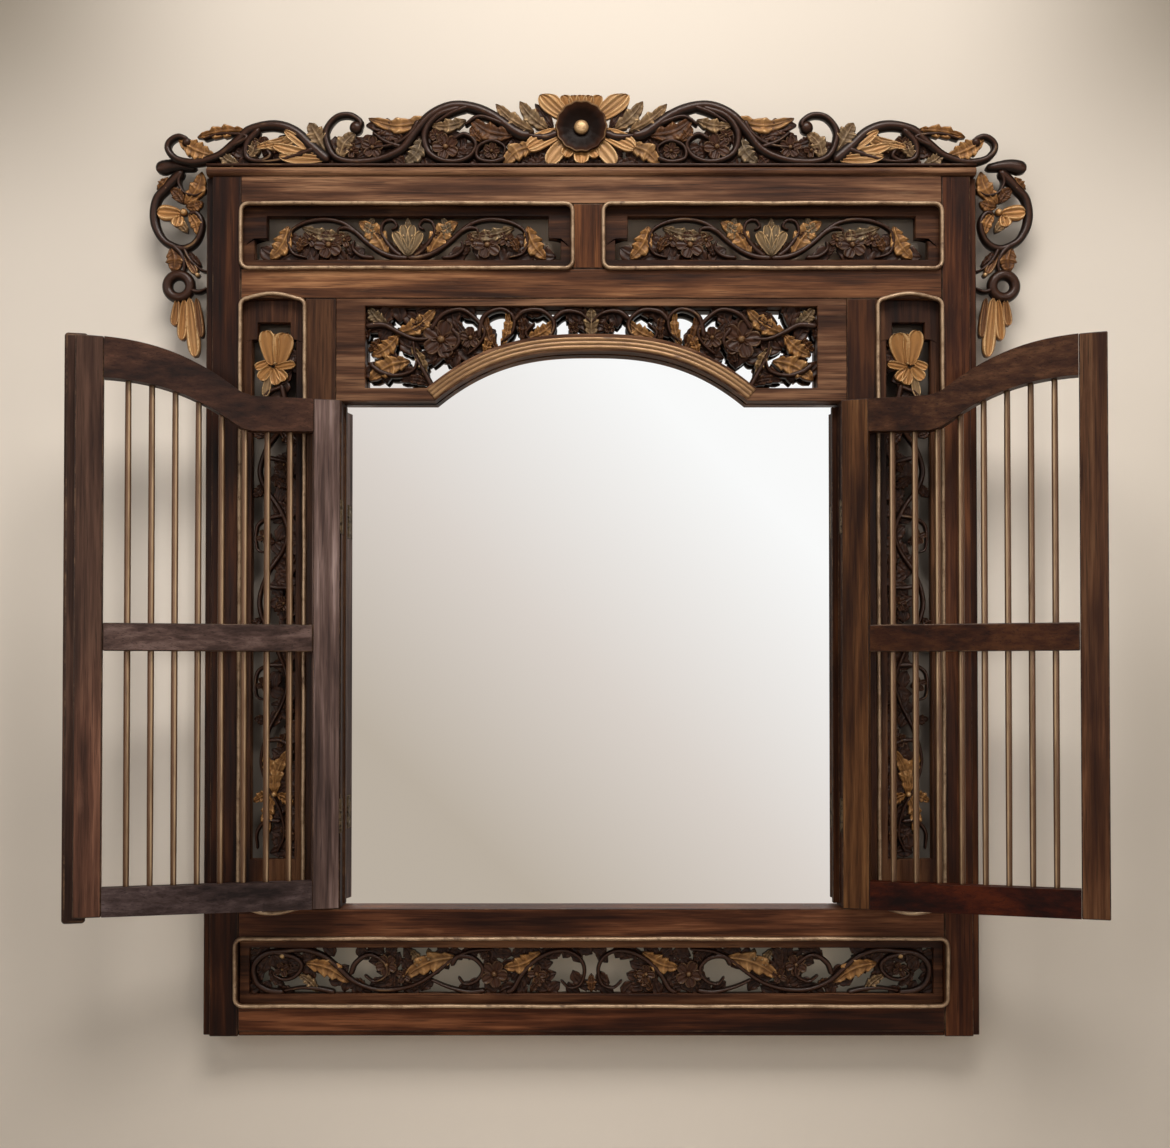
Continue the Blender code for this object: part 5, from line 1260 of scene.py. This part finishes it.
crest = {
    "offset": -12 * mm,
    "halfLength": 503 * mm,
    "rise": 91.5 * mm,
    "stem": 14 * mm,
    "stems": (
        (((0.12, 0.42), (0.153, 0.458), (0.212, 0.684), (0.265, 0.80), (0.313, 0.813), (0.363, 0.684),
          (0.399, 0.465), (0.434, 0.232), (0.492, 0.10), (0.558, 0.08), (0.597, 0.18), (0.612, 0.46),
          (0.588, 0.66), (0.553, 0.69), (0.528, 0.585), (0.546, 0.475)), 1.0),
        (((0.29, 0.79), (0.345, 0.684), (0.375, 0.465), (0.368, 0.22), (0.337, 0.10), (0.298, 0.08),
          (0.265, 0.16), (0.253, 0.32), (0.279, 0.44), (0.308, 0.37)), 0.76),
        (((0.13, 0.42), (0.20, 0.60), (0.246, 0.67), (0.279, 0.56)), 0.66),
        (((0.605, 0.08), (0.647, 0.284), (0.687, 0.48), (0.737, 0.56), (0.793, 0.50), (0.829, 0.33),
          (0.872, 0.15), (0.925, 0.07), (0.968, 0.11), (0.990, 0.23), (0.987, 0.34), (0.966, 0.41),
          (0.942, 0.37)),
         1.0),
        (((0.77, 0.51), (0.80, 0.32), (0.80, 0.13), (0.769, 0.08), (0.745, 0.15), (0.755, 0.24)), 0.76),
        (((0.055, 0.46), (0.085, 0.40), (0.13, 0.42)), 0.9),
        (((0.182, 0.12), (0.215, 0.07), (0.248, 0.12), (0.246, 0.27), (0.214, 0.35), (0.184, 0.27),
          (0.186, 0.15)),
         0.52),
        (((0.43, 0.26), (0.47, 0.34), (0.50, 0.46)), 0.56),
        (((0.64, 0.24), (0.69, 0.14), (0.735, 0.08), (0.775, 0.07)), 0.62),
        (((0.84, 0.27), (0.80, 0.40), (0.86, 0.44), (0.905, 0.37)), 0.52),
        (((0.27, 0.80), (0.31, 0.72), (0.35, 0.58)), 0.6),
        (((0.39, 0.62), (0.41, 0.44), (0.45, 0.30), (0.51, 0.25)), 0.55),
    ),
    # from, to, width in mm, tone, lobes, bend
    "leaves": (
        ((0.358, 0.67), (0.512, 0.66), 20, 0.74, 3, -0.14),
        ((0.425, 0.33), (0.518, 0.57), 23, 0.10, 3, 0.14),
        ((0.078, 0.50), (0.148, 0.885), 21, 0.92, 3, -0.08),
        ((0.066, 0.52), (0.112, 0.86), 15, 0.06, 2, 0.0),
        ((0.112, 0.47), (0.206, 0.85), 20, 0.88, 3, -0.08),
        ((0.120, 0.44), (0.232, 0.70), 17, 0.10, 3, 0.0),
        ((0.160, 0.43), (0.268, 0.66), 24, 0.26, 3, -0.14),
        ((0.112, 0.28), (0.186, 0.02), 25, 0.76, 3, 0.14),
        ((0.670, 0.46), (0.775, 0.30), 15, 0.80, 2, -0.14),
        ((0.612, 0.20), (0.653, 0.60), 26, 0.95, 4, 0.0),
        ((0.800, 0.485), (0.922, 0.40), 17, 0.58, 4, 0.04),
        ((0.966, 0.37), (0.874, 0.14), 25, 0.70, 5, 0.06),
        ((0.818, 0.03), (0.866, 0.22), 17, 0.97, 3, -0.14),
        ((0.800, 0.11), (0.782, 0.38), 17, 0.90, 3, 0.14),
        ((0.578, 0.09), (0.540, 0.46), 22, 0.93, 3, -0.14),
        ((0.275, 0.63), (0.362, 0.56), 18, 0.93, 3, -0.10),
        ((0.382, 0.40), (0.425, 0.05), 22, 1.0, 4, -0.14),
        ((0.42, 0.34), (0.500, 0.40), 17, 0.16, 3, 0.14),
        ((0.50, 0.36), (0.545, 0.12), 17, 0.12, 3, -0.14),
        ((0.700, 0.26), (0.765, 0.16), 14, 0.12, 3, 0.14),
        ((0.455, 0.14), (0.425, 0.02), 14, 0.12, 3, -0.14),
        ((0.545, 0.03), (0.590, 0.03), 10, 0.12, 2, 0.14),
        ((0.235, 0.34), (0.262, 0.56), 15, 0.30, 3, -0.14),
    ),
    "flowers": ((0.325, 0.27, 16, 0.06, 5), (0.500, 0.26, 13, 0.06, 5), (0.215, 0.21, 10, 0.07, 5),
                (0.550, 0.22, 9, 0.08, 4), (0.345, 0.42, 9, 0.10, 4), (0.770, 0.30, 9, 0.08, 4)),
    # long smooth blades of the gold leaf in the second scroll: from, to, width in mm, tone
    "blades": (((0.612, 0.11), (0.722, 0.06), 19, 0.76), ((0.612, 0.13), (0.742, 0.20), 19, 0.74),
               ((0.614, 0.15), (0.716, 0.41), 17, 0.76), ((0.690, 0.42), (0.772, 0.20), 13, 0.72)),
    "knobs": ((0.540, 0.53, 8.0, 0.06), (0.945, 0.33, 6.0, 0.10)),
    "roof": ((0.0, 0.13, 0.20, 0.30, 0.37, 0.42, 0.50, 0.56, 0.60, 0.63, 0.70, 0.80, 0.86, 0.88),
             (0.42, 0.46, 0.56, 0.66, 0.58, 0.40, 0.48, 0.45, 0.30, 0.22, 0.40, 0.32, 0.14, 0.0)),
    # across, up, reach in mm of the places where the wall shows
    "holes": ((0.255, 0.36, 5), (0.575, 0.50, 5), (0.745, 0.42, 4), (0.275, 0.60, 2), (0.68, 0.30, 1)),
    "ground": 12.5 * mm,
    "rosetteHeight": 48.4 * mm,
    "rosetteRoof": 40.3 * mm,         # no petal rises further above the rosette's middle
    # turn in degrees from straight up to the right, reach and width in mm, tone, curl
    "petals": ((0, 40, 16, 0.58, 0), (15, 40.5, 15, 0.50, 0), (-15, 40.5, 15, 0.52, 0), (30, 45, 16, 0.60, 0),
               (-30, 45, 16, 0.57, 0), (57, 69, 27, 0.74, 0.08), (-54, 63, 26, 0.74, -0.08),
               (104, 69, 22, 0.72, -0.20), (-104, 70, 22, 0.72, 0.20), (133, 60, 21, 0.76, -0.14),
               (-133, 60, 21, 0.76, 0.14), (153, 41, 16, 0.58, 0), (-150, 41, 16, 0.56, 0),
               (180, 44, 20, 0.64, 0)),
    "cup": 31 * mm,
    "thickness": 18 * mm,
}
ear = {
    "reach": 66 * mm,
    "height": 239 * mm,
    "top": 532.5 * mm,
    "stem": 12.5 * mm,
    "stems": (
        (((0.925, 0.955), (0.80, 0.975), (0.57, 0.983), (0.20, 0.972)), 1.5),
        (((0.44, 0.955), (0.60, 0.915), (0.78, 0.862), (0.92, 0.815), (0.975, 0.745), (0.945, 0.675),
          (0.82, 0.610), (0.64, 0.575), (0.44, 0.560), (0.24, 0.585), (0.12, 0.640), (0.10, 0.700),
          (0.20, 0.742), (0.33, 0.735)),
         1.0),
        (((0.62, 0.575), (0.48, 0.535), (0.41, 0.485), (0.42, 0.435)), 0.66),
        (((0.44, 0.955), (0.52, 0.90), (0.42, 0.845), (0.20, 0.83), (0.0, 0.86)), 0.45),
        (((0.42, 0.56), (0.30, 0.50), (0.12, 0.455), (-0.02, 0.44)), 0.5),
        (((0.30, 0.35), (0.14, 0.34), (-0.02, 0.36)), 0.5),
    ),
    "ring": (0.520, 0.370, 13.8, 13.2),
    "leaves": (
        ((0.42, 0.785), (0.10, 0.955), 22, 0.56),
        ((0.72, 0.925), (0.93, 0.860), 15, 0.42),
        ((0.44, 0.790), (0.68, 0.860), 17, 0.30),
        ((0.665, 0.570), (0.625, 0.435), 23, 0.38),
        ((0.40, 0.772), (0.08, 0.800), 15, 0.40),
        ((0.34, 0.740), (0.16, 0.620), 16, 0.62),
        ((0.36, 0.640), (0.56, 0.690), 13, 0.88),
        ((0.10, 0.470), (0.30, 0.545), 12, 0.14),
    ),
    "petals": (
        ((0.48, 0.738), (0.90, 0.742), 21, 0.64),
        ((0.50, 0.730), (0.56, 0.670), 18, 0.68),
        ((0.40, 0.530), (0.19, 0.430), 12, 0.30),
        ((0.54, 0.300), (0.585, 0.165), 13, 0.46),
        ((0.41, 0.300), (0.45, 0.092), 14, 0.60),
        ((0.32, 0.310), (0.20, 0.006), 18, 0.72),
        ((0.19, 0.310), (0.09, 0.105), 11, 0.30),
    ),
    "bosses": ((0.43, 0.745, 4.5, 0.62), (0.17, 0.425, 3.0, 0.80)),
}


def carveField(name, look, field, front, back, flips=(1, -1), floor=None):
    stems, leaves = Shells(), Shells()
    deeper = front + 4.5 * mm
    if "ground" in look:
        fillGround(leaves, field, deeper, back - 1.5 * mm, look["ground"], look["ground"] * 1.8, flips, floor,
                   look.get("holes", ()), look.get("groundTop", 1.0))
    for flip in flips:
        for count, route in enumerate(look["stems"]):
            share = 1.0 if count == 0 else 0.85
            addStem(stems, placed(route, field, flip), look["stem"] * share, front, back - 2 * mm, wave=0.05)
        for count, (base, tip, width, tone) in enumerate(look["leaves"]):
            ends = placed([base, tip], field, flip)
            bend = 0.10 * flip * (1 if count % 2 else -1)
            step = (1.5 if tone < 0.2 else -1.0) * mm
            addLeaf(leaves, *ends, width * mm, front + step, back - 3 * mm, tone, bend=bend)
        for base, tip, width, tone in look.get("petals", ()):
            addPetal(leaves, *placed([base, tip], field, flip), width * mm, front - 1 * mm, back - 4 * mm,
                     tone,
                     flutes=2)
        for across, up, radius, tone in look.get("bosses", ()):
            addBoss(leaves, spotIn(across, up, field, flip), radius * mm, front - 1 * mm, back - 4 * mm, tone)
        for across, up, radius, tone, petals, flat in look.get("flowers", ()):
            addBlossom(leaves, spotIn(across, up, field, flip), radius * mm, front, back - 4 * mm, tone,
                       petals,
                       0.4 + across * 7, flat)
    if "bud" in look:
        base, tip, width, tone = look["bud"]
        addLeaf(leaves, *placed([base, tip], field), width * mm, front - 1 * mm, back - 4 * mm, tone, lobes=3,
                bend=0)
    stems.make(name + "_stems", woods["stem"], "frame", slot="carved_wood")
    leaves.make(name + "_leaves", woods["panelLeaf"], "frame", slot="carved_wood")


for side in sides:
    carveField("frieze_" + side, frieze, fields["frieze_panel_" + side], panels["front"], panels["back"])
    carveField("side_" + side, sideCarving, fields["side_panel_" + side], panels["front"], panels["back"],
               flips=(sides[side],))
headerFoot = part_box("header_panel")[0].z + header["footBar"]
carveField("header", headerCarving, fields["header_panel"], frontY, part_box("header_panel")[1].y,
           floor=lambda x: archOver(x, header["fieldArchReach"], headerFoot, header["bandLift"]))
carveField("apron", apron, fields["apron_panel"], panels["front"], panels["back"])
print("panel carving made")


def carveCrest():
    low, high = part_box("crest")
    front, back = low.y + 1 * mm, high.y - 1 * mm
    field = (crest["offset"], crest["halfLength"], low.z, crest["rise"])
    stems, leaves = Shells(), Shells()
    sillTop = low.z + 4.5 * mm
    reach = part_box("rail_top")[1].x
    x = np.linspace(-reach, reach, 60)
    sill = np.stack([x, np.full(60, (low.z + sillTop) / 2)], axis=1)
    turns = ringTurns(12)
    across = np.cos(turns) * (sillTop - low.z) / 2
    depth = (front + back) / 2 - (back - front) / 2 * np.sign(np.sin(turns)) * np.abs(np.sin(turns)) ** 0.5
    stems.add(inPlane(sill, sidewaysOf(sill), across, depth), np.clip(np.sin(turns), 0, 1), 0.1)
    for flip in (1, -1):
        for route, share in crest["stems"]:
            addStem(stems, placed(route, field, flip), crest["stem"] * share, front, back, wave=0.04,
                    around=16)
        for base, tip, width, tone, lobes, bend in crest["leaves"]:
            ends = placed([base, tip], field, flip)
            step = (2.5 if tone < 0.2 else -0.5) * mm
            addLeaf(leaves, *ends, width * mm, front + step, back - 4 * mm, tone, lobes=lobes,
                    bend=bend * flip,
                    lean=0.3)
        for count, (base, tip, width, tone) in enumerate(crest["blades"]):
            lift = 0.6 * mm - 0.3 * mm * count
            addPetal(leaves, *placed([base, tip], field, flip), width * mm, front - lift, back - 5 * mm, tone,
                     flutes=2, fan=0.9, point=2.2, curl=0.12 * flip)
        for across, up, radius, tone in crest["knobs"]:
            addBoss(stems, spotIn(across, up, field, flip), radius * mm, front, back - 3 * mm, tone)
        for across, up, radius, tone, petals in crest["flowers"]:
            addBlossom(leaves, spotIn(across, up, field, flip), radius * mm, front + 0.5 * mm, back - 4 * mm,
                       tone, petals, 0.3 + 5 * across)
    ground = Shells()
    fillGround(ground, field, front + 6 * mm, back - 1 * mm, crest["ground"], crest["ground"] * 1.8,
               holes=crest["holes"], top=0.72, roof=crest["roof"])
    ground.make("crest_ground", woods["leaf"], "frame", slot="carved_wood")
    centre = np.array([crest["offset"], low.z + crest["rosetteHeight"]])
    for count, (turn, reach, width, tone, curl) in enumerate(crest["petals"]):
        way = np.array([math.sin(math.radians(turn)), math.cos(math.radians(turn))])
        large = reach > 60
        step = (0.5 * (count % 2) if large else 1.6) * mm
        addPetal(leaves, centre + way * 20 * mm, centre + way * reach * mm, width * mm, front + step,
                 back - 5 * mm, tone, flutes=4 if large else 2, fan=1.5 if large else 1.8, point=6.0, curl=curl,
                 roof=centre[1] + crest["rosetteRoof"])
    cup = Shells()
    addCup(cup, centre, crest["cup"], low.y + 0.6 * mm)
    addBoss(leaves, centre, 9 * mm, low.y + 0.8 * mm, low.y + 9 * mm, 0.86)
    stems.make("crest_scrolls", woods["stem"], "frame", ["crest"])
    cup.make("crest_rosette_cup", woods["cup"], "frame", slot="carved_wood")
    leaves.make("crest_leaves", woods["leaf"], "frame", slot="carved_wood")


# the rosette's cup: share of its radius, and depth in mm
cupSection = np.array([(0.10, 7), (0.30, 6.6), (0.50, 5.2), (0.66, 3.2), (0.80, 1.6), (0.90, 0.5),
                       (0.95, -0.5), (0.985, -0.6), (1.0, 0.4), (1.0, 4), (0.92, 9), (0.55, 11), (0.10, 11)])


def addCup(shells, centre, radius, front, ripples=14, around=84):
    # a shallow bowl with a rolled, lightly waved rim: its section is carried round the middle
    turn = np.linspace(0, 2 * math.pi, around, endpoint=False)
    reach, depth = cupSection[:, :1] * radius, cupSection[:, 1:]
    wave = 1 + 0.022 * np.cos(ripples * turn) * (reach > 0.6 * radius)
    x = centre[0] + reach * wave * np.cos(turn)
    z = centre[1] + reach * wave * np.sin(turn)
    y = front + depth * mm + np.zeros(around)
    # the rise mark is highest on the rim and nothing deep in the bowl, so the finish paints a highlight on the
    # rim and shade in the bowl
    rise = np.interp(depth, (-1, 7), (1, 0)) + np.zeros(around)
    shells.add(np.stack([x, y, z], axis=-1), rise, 0.1)


def carveEar(side, sign):
    low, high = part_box("ear_" + side)
    root = high.x if side == "left" else low.x
    field = (root, -sign * ear["reach"], ear["top"] - ear["height"], ear["height"])
    front, back = low.y, low.y + crest["thickness"] - 2 * mm
    stems, leaves = Shells(), Shells()
    for route, share in ear["stems"]:
        addStem(stems, placed(route, field), ear["stem"] * share, front, back, wave=0.04, around=16)
    for count, (base, tip, width, tone) in enumerate(ear["leaves"]):
        addLeaf(leaves, *placed([base, tip], field), width * mm, front - 0.5 * mm, back - 5 * mm, tone,
                lobes=3,
                bend=0.12 * sign * (1 if count % 2 else -1), lean=0.3, cut=0.2)
    for base, tip, width, tone in ear["petals"]:
        addPetal(leaves, *placed([base, tip], field), width * mm, front - 0.3 * mm, back - 5 * mm, tone)
    for across, up, radius, tone in ear["bosses"]:
        addBoss(leaves, spotIn(across, up, field), radius * mm, front, back - 5 * mm, tone)
    across, up, radius, width = ear["ring"]
    turn = np.linspace(0, 2 * math.pi, 60, endpoint=False)
    circle = spotIn(across, up, field) + radius * mm * np.stack([np.cos(turn), np.sin(turn)], axis=1)
    round16 = ringTurns(16)
    depth = (front + back) / 2 - (back - front) / 2 * np.sin(round16)
    stems.add(inPlane(circle, sidewaysOf(circle, closed=True), width / 2 * mm * np.cos(round16), depth),
              np.clip(np.sin(round16), 0, 1), 0.1, closed=True)
    stems.make(f"ear_{side}_scrolls", woods["stem"], "frame", ["ear_" + side])
    leaves.make(f"ear_{side}_leaves", woods["leaf"], "frame", slot="carved_wood")


carveCrest()
for side, sign in sides.items():
    carveEar(side, sign)
print("crest and ears made")


# Shutter spindles

spindle = {
    "radius": 3.75 * mm,
    "waist": 0.10,        # how much thinner the ends are, as a share
    "around": 32,
    "rings": 60,
    "highlightAcross": 0.56,          # where across the bar its painted highlight is brightest, towards the frame's middle
}


def makeSpindles(side):
    # a round bar whose radius swells a little towards its middle; its rise mark is a bell curve across it, which
    # the finish paints as a highlight towards the frame's middle over brown painted shade
    shells = Shells()
    names = [f"{side}_spindle_{number}" for number in range(1, 9)]
    turns = ringTurns(spindle["around"])
    across = np.cos(turns) * sides[side]
    rise = (0.26 + 0.74 * np.exp(-((across - spindle["highlightAcross"]) / 0.26) ** 2)) * (1 - 0.6 * np.abs(across) ** 8)
    for name in names:
        low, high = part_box(name)
        x, y = (low.x + high.x) / 2, (low.y + high.y) / 2
        share = np.linspace(0, 1, spindle["rings"])[:, None]
        radius = spindle["radius"] * (1 - spindle["waist"] * (2 * share - 1) ** 4)
        ringX, ringY = x + radius * np.cos(turns), y + radius * np.sin(turns)
        ringZ = np.broadcast_to(low.z + (high.z - low.z) * share, ringX.shape)
        shells.add(np.stack([ringX, ringY, ringZ], axis=-1), rise, 0.6)
    shells.make(side + "_spindles_gilded", woods["spindle"], side + "_shutter", names)


for side in sides:
    makeSpindles(side)
print("spindles made")


# The scene

def flatSheet(name, corners):
    return putMesh(name, np.array(corners), np.array([[0, 1, 2, 3]]))


def makeStage():
    size, gap, reach = room["wallSize"], room["wallGap"], room["floorReach"]
    floorZ = cadBox[0].z - room["floorDrop"]
    wall = flatSheet("Wall", [(-size, gap, -size), (size, gap, -size), (size, gap, size), (-size, gap, size)])
    floor = flatSheet("Floor", [(-size, -reach, floorZ), (size, -reach, floorZ), (size, size, floorZ),
                                (-size, size, floorZ)])
    paint = Finish("Wall paint and painted light", Roughness=0.9)
    place = paint.add("TexCoord", output=3)
    across, up = (paint.add("SeparateXYZ", None, {0: place}, axis) for axis in (0, 2))

    def paintedPool(x, z, reachX, reachZ):
        # 1 in the middle of an ellipse and nothing outside it
        square = ((across - x) * (1 / reachX)) ** 2 + ((up - z) * (1 / reachZ)) ** 2
        return (1 - square).clipped() ** 2

    # painted light and shade on the wall: pools of light and shade, and shade in its top corners
    paintedLightMask = room["base"]
    for x, z, reachX, reachZ, amount in room["paintedPools"]:
        paintedLightMask = paintedPool(x, z, reachX, reachZ) * amount + paintedLightMask
    aside, above, depth = room["corners"]
    distance = across.maths("ABSOLUTE", across)
    paintedLightMask = paintedLightMask - distance.between(*aside) * up.between(*above) * depth
    # the frame covers a rounded oblong: painted light behind the frieze and the apron, painted shade behind the
    # side panels
    halfWidth, halfHeight = room["covered"]
    covered = (1 - (across * (1 / halfWidth)) ** 8 - (up * (1 / halfHeight)) ** 8).clipped()
    ends = ((up ** 2 - 0.1) * 10).clipped()
    colour = paint.mixed(paintedLightMask.clipped(), room["wallInShade"], room["wallInLight"])
    paintedBehindFrame = paint.mixed(ends, room["shadeBehindSides"], room["behind"])
    paint.feed("Base Color", paint.mixed(covered, colour, paintedBehindFrame))
    # the wall behind the apron glows with painted light; it is no lamp
    foot = covered * ((0 - up) * 10 - 3).clipped()
    paint.feed("Emission Color", paint.mixed(foot, (0, 0, 0), room["glowBehindApron"]))
    paint.feed("Emission Strength", 1.0)
    behind = paint.add("NewGeometry", output=6)
    clear = paint.add("BsdfTransparent")
    both = paint.add("MixShader", None, {0: behind, 1: Wire(paint, paint.shader.outputs[0]), 2: clear})
    paint.join(paint.output.inputs[0], both)
    wall.data.materials.append(paint.material)
    ground = Finish("Floor paint", Roughness=0.85)
    ground.feed("Base Color", room["floor"])
    floor.data.materials.append(ground.material)


# what the mirror sees of the even room is palest at the upper right, and dim straight across from the wall
surround = {
    "light": (0.86, 0.84, 0.81),
    "strength": 0.27,
    "slant": (1.3, 1.36, 0.683),      # how fast it grows paler with X and with Z, and its start
    "stops": ((0.45, (0.52, 0.45, 0.373)), (0.70, (0.75, 0.685, 0.635)), (1.0, (1.02, 1.02, 1.02))),
    "ahead": (-0.82, -0.95),          # the dim part lies behind the first of these on Y
    "dim": (0.20, 0.18, 0.16),
}


def makeWorld():
    world = bpy.data.worlds.new("Studio")
    bpy.context.scene.world = world
    made = Nodes(world)
    place = made.add("TexCoord", output="Generated")
    x, y, z = (made.add("SeparateXYZ", None, {0: place}, axis) for axis in range(3))
    alongX, alongZ, start = surround["slant"]
    pale = made.add("ValToRGB", {"stops": surround["stops"]}, {"Fac": x * alongX + (z * alongZ + start)})
    shown = made.mixed(y.between(*surround["ahead"]), surround["dim"], pale)
    plain = made.add("Background", None, {0: surround["light"], 1: surround["strength"]})
    seen = made.add("Background", None, {0: shown, 1: 1.0})
    glossy = made.add("LightPath", output="Is Glossy Ray")
    made.add("OutputWorld", None, {0: made.add("MixShader", None, {0: glossy, 1: plain, 2: seen})}, None)


placeCamera()
makeStage()
makeWorld()
for name, lamp in lamps.items():
    areaLight(name, **lamp)
for name, lamp in spots.items():
    spotLight(name, **lamp)
bpy.context.scene.view_settings.view_transform = "Standard"
print("camera, stage and light placed")
